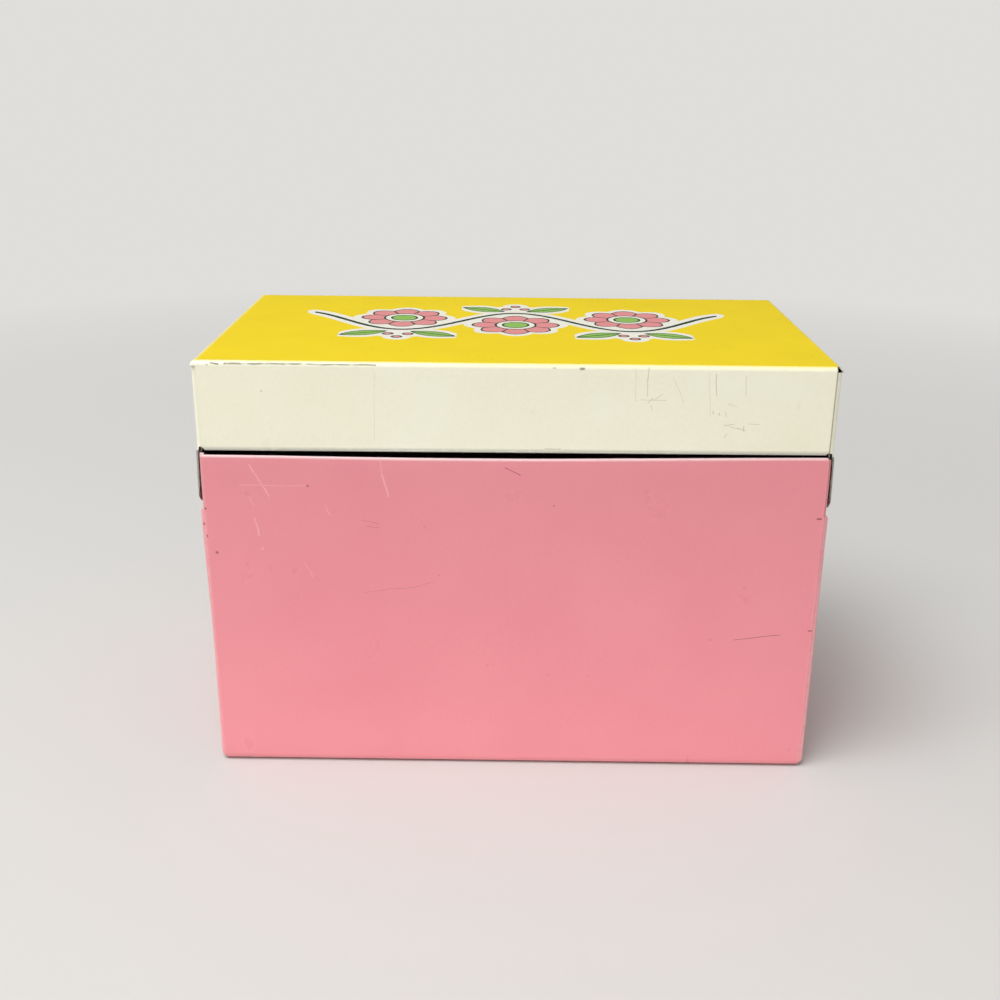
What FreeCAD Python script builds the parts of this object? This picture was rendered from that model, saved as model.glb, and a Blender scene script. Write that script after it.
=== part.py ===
import FreeCAD, Part
import math
import os

# Recipe tin: a folded lid on two rivets, over a body of a bent wrap and two flanged ends.
# Millimetres. +Z is up and +X runs along the width. The origin is the middle of the underside.
# The hinged rear wall faces -Y and the front wall faces +Y.

# Overall sizes, measured over the lid's faces
width = 135.0
depth = 76.0
height = 95.1

# Sheet and its bends, all bend radii on the outside of the bend
sheet = 0.28
lid_bend = 1.0
base_bend = 2.0
corner_bend = 0.9
step_bend = 0.6
step_slope = 45.0

# How far a cutting shape reaches past the sheet that it cuts
overcut = 1.0

# Hems: the edge folded flat on itself, with its inner leaf cut short at each end
hem_depth = 3.5
hem_gap = 0.08
hem_relief = 0.6
rim_notch = 0.45

# Lid
lid_skirt = 19.0
lid_seam_inset = 1.15
lid_tab_length = 9.0
relief_notch = 0.25
seam_notch = 0.9

# Body
body_inset = 0.17
body_seam_inset = 1.1
end_flange = 8.0
rear_gap = 1.06
neck_rise = 5.0
neck_clearance = 0.25
shoulder_drop = 1.25
front_step_height = 1.2
flange_fit = 0.04
flange_clearance = 0.2
tongue_setback = 0.75
tongue_clearance = 0.1

# Hinge
pivot_from_rear = 5.5
pivot_below_lid = 6.0
ear_radius = 5.0
ear_drop = 2.4
ear_root_fillet = 1.2
ear_lip_angle = 50.0
pocket_margin = 0.4

# Rivets
journal_radius = 1.5
tenon_radius = 1.2
shoulder_radius = 2.1
head_radius = 2.5
head_thickness = 0.4
upset_radius = 2.0
upset_thickness = 0.5
running_clearance = 0.05
axial_clearance = 0.06

# Planes and lines that follow from the sizes above
half_width = width / 2
half_depth = depth / 2
half_sheet = sheet / 2
hem_pitch = sheet + hem_gap
hem_thickness = sheet + hem_pitch
lid_edge_z = height - lid_skirt
lid_seam_x = half_width - lid_seam_inset
body_x = half_width - body_inset
body_y = half_depth - body_inset
wrap_edge_x = body_x - body_seam_inset
rear_top_z = lid_edge_z - rear_gap
neck_top_z = lid_edge_z + neck_rise
shoulder_z = lid_edge_z - shoulder_drop
pivot_y = pivot_from_rear - half_depth
pivot_z = lid_edge_z - pivot_below_lid
ear_hub_z = pivot_z - ear_drop
ear_reach = ear_drop + ear_radius
neck_x = half_width - hem_thickness - neck_clearance
step_depth = body_x - neck_x
step_width = step_depth / math.tan(math.radians(step_slope))


def front_neck_y():
    """Return the outer face of the front rim, clear of the lid's hem as the lid swings up."""
    hem_y = half_depth - hem_thickness
    reach = math.hypot(hem_y - pivot_y, pivot_below_lid)
    swung_y = pivot_y + math.sqrt(reach ** 2 - (pivot_below_lid + neck_rise) ** 2)
    return swung_y - neck_clearance


neck_y = front_neck_y()


def box(low, high):
    """Return the box between two opposite corners."""
    size = [b - a for a, b in zip(low, high)]
    return Part.makeBox(*size, FreeCAD.Vector(*low))


def mirrored(shape):
    """Return the shape's mirror image across the middle plane of the width."""
    return shape.mirror(FreeCAD.Vector(0, 0, 0), FreeCAD.Vector(1, 0, 0))


def in_yz(u, v):
    """Place a section point in the plane across the width."""
    return FreeCAD.Vector(0, u, v)


def in_xz(u, v):
    """Place a section point in the plane across the depth."""
    return FreeCAD.Vector(u, 0, v)


def strip_side(points, bends, offset):
    """Return points and arcs of a rounded centre line, moved sideways by offset.

    Each item is a line (start, end) or an arc (start, middle, end).
    """
    items = []
    directions = []
    for (u0, v0), (u1, v1) in zip(points, points[1:]):
        length = math.hypot(u1 - u0, v1 - v0)
        directions.append(((u1 - u0) / length, (v1 - v0) / length))

    def moved(point, direction):
        return (point[0] - direction[1] * offset, point[1] + direction[0] * offset)

    start = moved(points[0], directions[0])
    for point, radius, before, after in zip(points[1:-1], bends, directions, directions[1:]):
        cross = before[0] * after[1] - before[1] * after[0]
        dot = before[0] * after[0] + before[1] * after[1]
        turn = math.atan2(cross, dot)
        reach = radius * math.tan(abs(turn) / 2)
        enter = (point[0] - before[0] * reach, point[1] - before[1] * reach)
        leave = (point[0] + after[0] * reach, point[1] + after[1] * reach)
        side = math.copysign(1.0, turn)
        centre = (enter[0] - before[1] * radius * side, enter[1] + before[0] * radius * side)
        out = (point[0] - centre[0], point[1] - centre[1])
        share = (radius - offset * side) / math.hypot(*out)
        middle = (centre[0] + out[0] * share, centre[1] + out[1] * share)
        items.append((start, moved(enter, before)))
        items.append((moved(enter, before), middle, moved(leave, after)))
        start = moved(leave, after)
    items.append((start, moved(points[-1], directions[-1])))
    return items


def sheet_strip(points, bends, place, along):
    """Return a bent strip of the sheet.

    points are the corners of its centre line and bends their centre-line radii. place puts a
    section point in space, and along is the vector that the section is drawn out by.
    """
    left = strip_side(points, bends, half_sheet)
    right = strip_side(points, bends, -half_sheet)
    caps = [(left[0][0], right[0][0]), (left[-1][-1], right[-1][-1])]
    edges = []
    for item in left + right + caps:
        spots = [place(*spot) for spot in item]
        if len(spots) == 3:
            edges.append(Part.Arc(*spots).toShape())
        elif spots[0].distanceToPoint(spots[1]) > Part.Precision.confusion():
            edges.append(Part.makeLine(*spots))
    wire = Part.Wire(Part.sortEdges(edges)[0])
    return Part.Face(wire).extrude(along)


def hem_points(face, toward, edge, back):
    """Return the centre-line corners of a hem, from its inner leaf to its outer leaf.

    face is the outer face's coordinate and toward the direction into the box. edge is the
    hem's outermost coordinate up or down, and back the direction away from that edge.
    """
    outer = face + toward * half_sheet
    inner = outer + toward * hem_pitch
    level = edge + back * half_sheet
    return [(inner, edge + back * hem_depth), (inner, level), (outer, level)]


def hem_bends():
    """Return the two centre-line radii that fold a hem over."""
    return [hem_pitch / 2, hem_pitch / 2]


def body_wrap():
    """Rear wall, bottom and stepped front wall, bent from one strip with both rims hemmed."""
    rear = hem_points(-body_y, 1, rear_top_z, -1)
    front = hem_points(neck_y, -1, neck_top_z, -1)[::-1]
    wall = body_y - half_sheet
    neck = neck_y - half_sheet
    points = rear + [(-wall, half_sheet), (wall, half_sheet)]
    points += [(wall, shoulder_z), (neck, shoulder_z + front_step_height)] + front
    bends = hem_bends() + [base_bend - half_sheet] * 2 + [step_bend] * 2 + hem_bends()
    strip = sheet_strip(points, bends, in_yz, FreeCAD.Vector(2 * wrap_edge_x, 0, 0))
    strip.translate(FreeCAD.Vector(-wrap_edge_x, 0, 0))
    for side in (-1, 1):
        low_x, high_x = sorted((side * wrap_edge_x, side * (wrap_edge_x - hem_relief)))
        rear_leaf = box((low_x, sheet - body_y, rear_top_z - hem_depth - overcut), (high_x, 0, rear_top_z))
        front_leaf = box((low_x, 0, neck_top_z - hem_depth - overcut), (high_x, neck_y - sheet, neck_top_z))
        strip = strip.cut([rear_leaf, front_leaf, rear_rim_notch(side)])
    return strip


def rear_rim_notch(side):
    """Return the small slanting notch at the rear rim's end, beside the seam."""
    corners = [(side * wrap_edge_x, rear_top_z - rim_notch), (side * (wrap_edge_x - rim_notch), rear_top_z),
               (side * wrap_edge_x, rear_top_z)]
    return wedge(corners, -half_depth, -half_depth + base_bend)


def wedge(corners, start_y, end_y):
    """Return the solid drawn along the depth from a triangle of (x, z) corners."""
    wire = Part.makePolygon([FreeCAD.Vector(x, start_y, z) for x, z in corners + corners[:1]])
    return Part.Face(wire).extrude(FreeCAD.Vector(0, end_y - start_y, 0))


def end_form(inset):
    """Return the solid inside the end panel's outer faces, moved in by inset."""
    bottom = sheet + flange_fit + inset
    side = body_y - bottom
    radius = base_bend - bottom
    inner_x = body_x - end_flange - inset
    form = box((inner_x, -side, bottom), (body_x - inset, side, neck_top_z))
    low = [e for e in form.Edges if e.BoundBox.ZMax < bottom + radius and e.BoundBox.XLength > sheet]
    form = form.makeFillet(radius, low)
    face = max(form.Faces, key=lambda f: f.CenterOfMass.x)
    rim = [e for e in face.Edges if e.BoundBox.ZMin < neck_top_z - radius]
    form = form.makeFillet(corner_bend - inset, rim)
    return form.cut(step_recess(inset))


def step_recess(inset):
    """Return the space outside the end panel's step: the neck, and the hinge ear's pocket.

    Its walls slope, so its outline grows as it moves outwards. It reaches as far again past the
    panel's face as it is deep.
    """
    floor_x = neck_x - inset
    start = inset * math.tan(math.radians(step_slope) / 2)
    outlines = [recess_wire(floor_x, start), recess_wire(floor_x + 2 * step_depth, start + 2 * step_width)]
    return Part.makeLoft(outlines, True, True)


def recess_wire(x, grow):
    """Return the outline of the stepped-in area at x, made larger by grow."""
    far = depth
    pocket_z = pivot_z - ear_reach - pocket_margin - grow
    pocket_y = pivot_y + ear_reach + pocket_margin + grow
    floor_z = shoulder_z + step_width - grow
    corners = [(-far, pocket_z), (pocket_y, pocket_z), (pocket_y, floor_z), (far, floor_z),
               (far, height), (-far, height)]
    return Part.makePolygon([FreeCAD.Vector(x, y, z) for y, z in corners + corners[:1]])


def end_panel():
    """Right end: a tray with its flanges inside the wrap, a stepped neck and a hemmed rim."""
    panel = end_form(0).cut(end_form(sheet))
    far = half_depth
    inner_x = body_x - end_flange
    tongue_rear = -half_depth + hem_thickness + tongue_setback
    tongue_front = neck_y - sheet - tongue_clearance
    flange_top = shoulder_z - flange_clearance
    hem_base_z = rear_top_z - hem_depth - flange_clearance
    leaf_x = wrap_edge_x - hem_relief + tongue_clearance
    neck_leg_z = neck_top_z - hem_depth

    open_side = box((0, -far, 0), (inner_x, far, neck_top_z))
    above_rear = box((inner_x, -far, rear_top_z), (body_x, tongue_rear, neck_top_z))
    above_front = box((inner_x, tongue_front, flange_top), (body_x, far, neck_top_z))
    behind_hem = box((inner_x, -far, hem_base_z), (leaf_x, tongue_rear, rear_top_z))
    above_leg = box((inner_x, -far, neck_leg_z), (body_x, far, neck_top_z))
    for space in (open_side, above_rear, above_front, behind_hem, above_leg):
        panel = panel.cut(space)

    hem = hem_points(neck_x, -1, neck_top_z, -1) + [(neck_x - half_sheet, neck_leg_z)]
    length = tongue_front - tongue_rear
    rim = sheet_strip(hem, hem_bends(), in_xz, FreeCAD.Vector(0, length, 0))
    rim.translate(FreeCAD.Vector(0, tongue_rear, 0))
    leaf_low = (neck_x - hem_thickness, tongue_front - hem_relief, neck_leg_z)
    rim = rim.cut(box(leaf_low, (neck_x - sheet, tongue_front, neck_top_z)))
    panel = panel.fuse(rim).removeSplitter()
    return panel.cut(pivot_hole(tenon_radius, neck_x - sheet - overcut, neck_x + overcut))


def pivot_hole(radius, start_x, end_x):
    """Return a cylinder on the hinge axis, made larger by the running clearance."""
    centre = FreeCAD.Vector(start_x, pivot_y, pivot_z)
    return Part.makeCylinder(radius + running_clearance, end_x - start_x, centre, FreeCAD.Vector(1, 0, 0))


def lid_wrap():
    """Front wall, top and rear wall of the lid, with hems turned in."""
    rear = hem_points(-half_depth, 1, lid_edge_z, 1)
    front = hem_points(half_depth, -1, lid_edge_z, 1)[::-1]
    wall = half_depth - half_sheet
    top = height - half_sheet
    points = rear + [(-wall, top), (wall, top)] + front
    bends = hem_bends() + [lid_bend - half_sheet] * 2 + hem_bends()
    strip = sheet_strip(points, bends, in_yz, FreeCAD.Vector(2 * lid_seam_x, 0, 0))
    strip.translate(FreeCAD.Vector(-lid_seam_x, 0, 0))
    for side in (-1, 1):
        strip = strip.cut(lid_leaf_end(side))
        strip = strip.cut(lid_seam_notch(side))
    return strip


def lid_leaf_end(side):
    """Return the end of the lid hem's inner leaf that is cut away to clear the side walls."""
    low_x, high_x = sorted((side * lid_seam_x, side * (lid_seam_x - hem_relief)))
    reach = half_depth - sheet
    return box((low_x, -reach, lid_edge_z), (high_x, reach, lid_edge_z + hem_depth + overcut))


def lid_seam_notch(side):
    """Return the small slanting notch at the lower end of the seam in the lid's walls."""
    corners = [(side * lid_seam_x, lid_edge_z + seam_notch), (side * (lid_seam_x - seam_notch), lid_edge_z),
               (side * lid_seam_x, lid_edge_z)]
    return wedge(corners, -half_depth, half_depth)


def lid_side():
    """Right side wall of the lid: bent down from the top, with a hem ahead of the hinge ear."""
    top = height - half_sheet
    wall = half_width - half_sheet
    end_y = half_depth - sheet - lid_bend
    hem_start = pivot_y + ear_radius + ear_root_fillet
    shoulder = [(wall, top), (lid_seam_x - lid_tab_length, top)]
    hemmed = hem_points(half_width, -1, lid_edge_z, 1) + shoulder
    front = sheet_strip(hemmed, hem_bends() + [lid_bend - half_sheet], in_xz,
                        FreeCAD.Vector(0, end_y - hem_start, 0))
    front.translate(FreeCAD.Vector(0, hem_start, 0))
    rear = sheet_strip([(wall, lid_edge_z)] + shoulder, [lid_bend - half_sheet], in_xz,
                       FreeCAD.Vector(0, hem_start + end_y, 0))
    rear.translate(FreeCAD.Vector(0, -end_y, 0))
    return front.fuse(rear)


def corner_shell(low_z, high_z):
    """Return the right side's sheet, bent round both vertical corners to lie behind the walls."""
    side = half_depth - sheet
    inner_x = half_width - lid_tab_length
    shells = []
    for inset in (0, sheet):
        form = box((inner_x - inset, inset - side, low_z), (half_width - inset, side - inset, high_z))
        upright = [e for e in form.Edges if e.BoundBox.ZLength > sheet and e.BoundBox.XMin > inner_x]
        shells.append(form.makeFillet(lid_bend - inset, upright))
    return shells[0].cut(shells[1])


def lid_corner_strips():
    """Return the bent corners of the right side wall, and the tabs behind the front and rear."""
    top_z = height - lid_bend - relief_notch
    bend_y = half_depth - sheet - lid_bend
    strips = corner_shell(lid_edge_z, top_z)
    flat_side = box((0, -bend_y, lid_edge_z), (half_width, bend_y, top_z))
    hem_top_z = lid_edge_z + hem_depth + flange_clearance
    behind_hem = box((0, -half_depth, lid_edge_z), (lid_seam_x - hem_relief, half_depth, hem_top_z))
    return strips.cut(flat_side).cut(behind_hem)


def lid_top_corners():
    """Return the mitred corners of the lid's top, where the bends of two walls meet."""
    shells = []
    for inset in (0, sheet):
        reach = (half_width - inset, half_depth - inset)
        form = box((-reach[0], -reach[1], lid_edge_z), (reach[0], reach[1], height - inset))
        rim = [e for e in form.Edges if e.BoundBox.ZMin > height - lid_bend]
        shells.append(form.makeFillet(lid_bend - inset, rim))
    shell = shells[0].cut(shells[1])
    start_y = half_depth - sheet - lid_bend
    corners = []
    for x_side in (-1, 1):
        for y_side in (-1, 1):
            low_x, high_x = sorted((x_side * lid_seam_x, x_side * half_width))
            low_y, high_y = sorted((y_side * start_y, y_side * half_depth))
            region = box((low_x, low_y, height - lid_bend), (high_x, high_y, height))
            corners.append(shell.common(region))
    return corners


def hinge_ear():
    """Right ear: the side wall carried on down, round at its end, with its rear edge turned in."""
    tip_z = ear_hub_z - ear_radius
    root_z = lid_edge_z + relief_notch
    shell = corner_shell(tip_z, root_z)
    bend_x = half_width - lid_bend
    lip_x = bend_x + (lid_bend - sheet) * math.cos(math.radians(ear_lip_angle))
    shell = shell.common(box((lip_x, -half_depth, tip_z), (half_width, 0, root_z)))

    front_y = pivot_y + ear_radius
    root_y = front_y + ear_root_fillet
    blank = box((lip_x, -half_depth, ear_hub_z), (half_width, front_y, root_z))
    tip = Part.makeCylinder(ear_radius, half_width - lip_x, FreeCAD.Vector(lip_x, pivot_y, ear_hub_z),
                            FreeCAD.Vector(1, 0, 0))
    web = box((lip_x, front_y, lid_edge_z - ear_root_fillet), (half_width, root_y, root_z))
    scoop = Part.makeCylinder(ear_root_fillet, half_width - lip_x,
                              FreeCAD.Vector(lip_x, root_y, lid_edge_z - ear_root_fillet),
                              FreeCAD.Vector(1, 0, 0))
    outline = blank.fuse(tip).fuse(web.cut(scoop))
    return shell.common(outline)


def lid():
    """Whole lid: wrap, side walls, corners and ears as one folded sheet."""
    side = lid_side().fuse(lid_corner_strips()).fuse(hinge_ear())
    whole = lid_wrap().fuse([side, mirrored(side)] + lid_top_corners())
    hole = pivot_hole(journal_radius, neck_x, half_width + overcut)
    return whole.cut([hole, mirrored(hole)]).removeSplitter()


def hinge_rivet():
    """Right rivet: upset head inside, tenon, shoulder, journal for the ear, and outer head."""
    panel_in = neck_x - sheet
    ear_in = half_width - sheet
    head_x = half_width + axial_clearance
    seat_x = ear_in - axial_clearance
    crown = head_thickness / 2
    outline = [(panel_in - upset_thickness, 0), (panel_in - upset_thickness, upset_radius - crown),
               (panel_in - upset_thickness + crown, upset_radius), (panel_in, upset_radius),
               (panel_in, tenon_radius), (neck_x, tenon_radius), (neck_x, shoulder_radius),
               (seat_x, shoulder_radius), (seat_x, journal_radius), (head_x, journal_radius),
               (head_x, head_radius), (head_x + crown, head_radius),
               (head_x + head_thickness, head_radius - 2 * crown), (head_x + head_thickness, 0)]
    spots = [FreeCAD.Vector(x, pivot_y, pivot_z + r) for x, r in outline + outline[:1]]
    face = Part.Face(Part.makePolygon(spots))
    return face.revolve(FreeCAD.Vector(0, pivot_y, pivot_z), FreeCAD.Vector(1, 0, 0), 360)


def build():
    """Return every piece of the tin under its name."""
    right_end = end_panel()
    right_rivet = hinge_rivet()
    return {
        "body_wrap": body_wrap(),
        "left_end_panel": mirrored(right_end),
        "right_end_panel": right_end,
        "lid": lid(),
        "left_hinge_rivet": mirrored(right_rivet),
        "right_hinge_rivet": right_rivet,
    }


os.makedirs("parts", exist_ok=True)
for name, piece in build().items():
    print(name, len(piece.Solids), "solid", "valid" if piece.isValid() else "not valid",
          round(piece.Volume, 1), "mm3")
    piece.exportStep(f"parts/{name}.step")
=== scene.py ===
"""Recipe tin: a folded lid on two rivets, over a body of a bent wrap and two flanged ends.

Every sheet is worked at the middle of its thickness, in millimetres and in the frame of the
solids, and brought to metres when it is finished. +Z is up and +X runs along the width. The
hinged rear wall faces -Y and the front wall faces +Y.
"""

import logging
import math
from collections.abc import Callable, Iterable, Sequence
from dataclasses import dataclass, field
from enum import Enum
from functools import partial, reduce

import bmesh
import bpy
from mathutils import Matrix, Vector


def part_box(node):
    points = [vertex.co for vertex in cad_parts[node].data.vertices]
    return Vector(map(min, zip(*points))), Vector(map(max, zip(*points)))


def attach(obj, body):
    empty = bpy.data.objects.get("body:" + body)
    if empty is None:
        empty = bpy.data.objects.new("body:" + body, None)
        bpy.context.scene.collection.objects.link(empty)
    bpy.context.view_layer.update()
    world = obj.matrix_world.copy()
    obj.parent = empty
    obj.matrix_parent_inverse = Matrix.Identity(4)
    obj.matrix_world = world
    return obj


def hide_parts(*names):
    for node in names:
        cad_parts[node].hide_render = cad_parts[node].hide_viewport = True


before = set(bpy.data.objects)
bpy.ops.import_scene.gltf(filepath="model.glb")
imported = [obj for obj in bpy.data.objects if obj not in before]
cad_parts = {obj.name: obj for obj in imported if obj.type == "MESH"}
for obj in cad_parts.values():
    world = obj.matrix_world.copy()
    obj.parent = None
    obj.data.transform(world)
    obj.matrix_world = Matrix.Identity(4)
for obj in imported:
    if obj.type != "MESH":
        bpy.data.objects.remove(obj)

METRES_PER_MM = 0.001
MM_PER_METRE = 1000.0
TOUCH = 0.01
MERGE_DISTANCE = 0.002
ARC_STEP_DEGREES = 10.0
SMOOTH_DEGREES = 35.0
ROUND_SIDES = 48
LOG = logging.getLogger("recipe_tin")

Feed = bpy.types.Node | bpy.types.NodeSocket | float | Sequence[float]
Adder = Callable[..., bpy.types.Node]
Test = Callable[[Vector], bool]
Shape = Callable[[Vector], Vector]


class Slot(Enum):
    """The record's material slots."""

    PINK = "pink_enamel"
    CREAM = "cream_enamel"
    TINPLATE = "bare_tinplate"


class Carrier(Enum):
    """The bodies that pieces ride on."""

    BODY = "body"
    LID = "lid"


class Side(Enum):
    """An end of the tin, by the direction that it faces along the width."""

    LEFT = -1
    RIGHT = 1


class Axis(Enum):
    """An axis of the frame, by its place in a point."""

    X = 0
    Y = 1
    Z = 2

    @property
    def unit(self) -> Vector:
        """Return the axis as a vector of length one."""
        return Matrix.Identity(3)[self.value].copy()


class SheetFace(Enum):
    """A face of a finished sheet, by its place among the piece's materials."""

    PRINTED = 0
    BARE = 1
    CUT = 2


@dataclass(frozen=True)
class Gauge:
    """The tinplate and the hem that stiffens its edges, in millimetres."""

    sheet: float = 0.28
    hem_depth: float = 3.5
    hem_gap: float = 0.08
    hem_relief: float = 0.6

    @property
    def half(self) -> float:
        """Return half of the sheet's thickness."""
        return self.sheet / 2

    @property
    def hem_bend(self) -> float:
        """Return the radius that the middle of the sheet is folded over at a hem."""
        return (self.sheet + self.hem_gap) / 2

    @property
    def hem_lead(self) -> float:
        """Return how far inside a hem's outer edge its fold begins."""
        return self.half + self.hem_bend

    @property
    def hem_leaf(self) -> float:
        """Return the flat length of a hem's inner leaf."""
        return self.hem_depth - self.hem_lead


GAUGE = Gauge()


def box_of(node: str) -> tuple[Vector, Vector]:
    """Return the lowest and highest corners of a solid, in millimetres.

    Args:
        node: the solid's name

    Returns:
        The two corners.
    """
    low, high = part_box(node)
    return Vector(low) * MM_PER_METRE, Vector(high) * MM_PER_METRE


WRAP_HIGH = box_of("body_wrap")[1]
END_HIGH = box_of("right_end_panel")[1]
LID_LOW, LID_HIGH = box_of("lid")


def ease(value: float, start: float, end: float) -> float:
    """Return a smooth step from 0 at start to 1 at end.

    Args:
        value: where the step is read
        start: where it leaves 0
        end: where it reaches 1

    Returns:
        The step's height.
    """
    share = min(max((value - start) / (end - start), 0.0), 1.0)
    return share * share * (3 - 2 * share)


def crown(value: float, reach: float) -> float:
    """Return a flat-footed bump that is 1 in the middle and 0 from reach outwards.

    Args:
        value: where the bump is read
        reach: half of its width

    Returns:
        The bump's height.
    """
    return max(0.0, 1 - (value / reach) ** 2) ** 2


@dataclass(frozen=True)
class BodyForm:
    """The body's foot, the levels of its rims and how use has bent it, in millimetres."""

    base_bend: float = 2.0
    rear_drop: float = 6.06
    shoulder_drop: float = 6.25
    hem_drop: float = 5.0
    sink: float = 0.42
    rise: float = 0.95
    rise_start: float = 0.0
    rise_end: float = 80.0
    sag: float = 0.2
    sag_x: float = -18.0
    sag_reach: float = 42.0
    spread_x: float = 0.5
    spread_start: float = 30.0
    spread_end: float = 62.0
    neck_share: float = 0.3
    neck_blend: float = 1.0

    @property
    def rear_top_z(self) -> float:
        """Return the level of the rear rim."""
        return WRAP_HIGH.z - self.rear_drop

    @property
    def shoulder_z(self) -> float:
        """Return the level where the front wall steps in."""
        return WRAP_HIGH.z - self.shoulder_drop

    @property
    def lid_edge_z(self) -> float:
        """Return the level of the closed lid's lower edge."""
        return WRAP_HIGH.z - self.hem_drop

    def rim_lift(self, x: float) -> float:
        """Return how far the rear rim stands above its level, at a place along the width.

        Args:
            x: the place

        Returns:
            The height, which is negative where the rim has sunk.
        """
        climb = self.rise * ease(x, self.rise_start, self.rise_end)
        return climb - self.sink - self.sag * crown(x - self.sag_x, self.sag_reach)

    def spread(self, corner: Vector) -> Vector:
        """Return where a corner of the body lies now that its ends have been pressed apart.

        The right end stands out all the way up, and the left end only beside the hinge. The
        neck has given way less than the rest.

        Args:
            corner: the corner of a square body

        Returns:
            Its place now.
        """
        reach = self.spread_x
        if corner.x <= 0:
            reach *= ease(corner.z, self.spread_start, self.spread_end)
        in_neck = ease(corner.z, self.rear_top_z - self.neck_blend, self.rear_top_z + self.neck_blend)
        reach *= 1 - (1 - self.neck_share) * in_neck
        return Vector((corner.x * (1 + reach / END_HIGH.x), corner.y, corner.z))


@dataclass(frozen=True)
class LidHang:
    """How far the lid's rear wall hangs below its level: in the middle, and more per step to the left."""

    drop: float = 0.25
    tilt: float = -0.0031


BODY_FORM = BodyForm()
LID_HANG = LidHang()


def spaced(start: float, end: float, pitch: float) -> list[float]:
    """Return evenly spaced places from start to end, at most a pitch apart.

    Args:
        start: the first place
        end: the last place
        pitch: the widest spacing

    Returns:
        The places, both ends included.
    """
    count = math.ceil((end - start) / pitch)
    return [start + (end - start) * index / count for index in range(count + 1)]


def select_only(piece: bpy.types.Object) -> None:
    """Select one piece and nothing else, and make it the active one.

    Args:
        piece: the piece
    """
    bpy.ops.object.select_all(action="DESELECT")
    piece.select_set(True)
    bpy.context.view_layer.objects.active = piece


def apply_place(piece: bpy.types.Object) -> None:
    """Move a piece's place, turn and scale into its mesh.

    Args:
        piece: the piece
    """
    select_only(piece)
    bpy.ops.object.transform_apply(location=True, rotation=True, scale=True)


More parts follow.
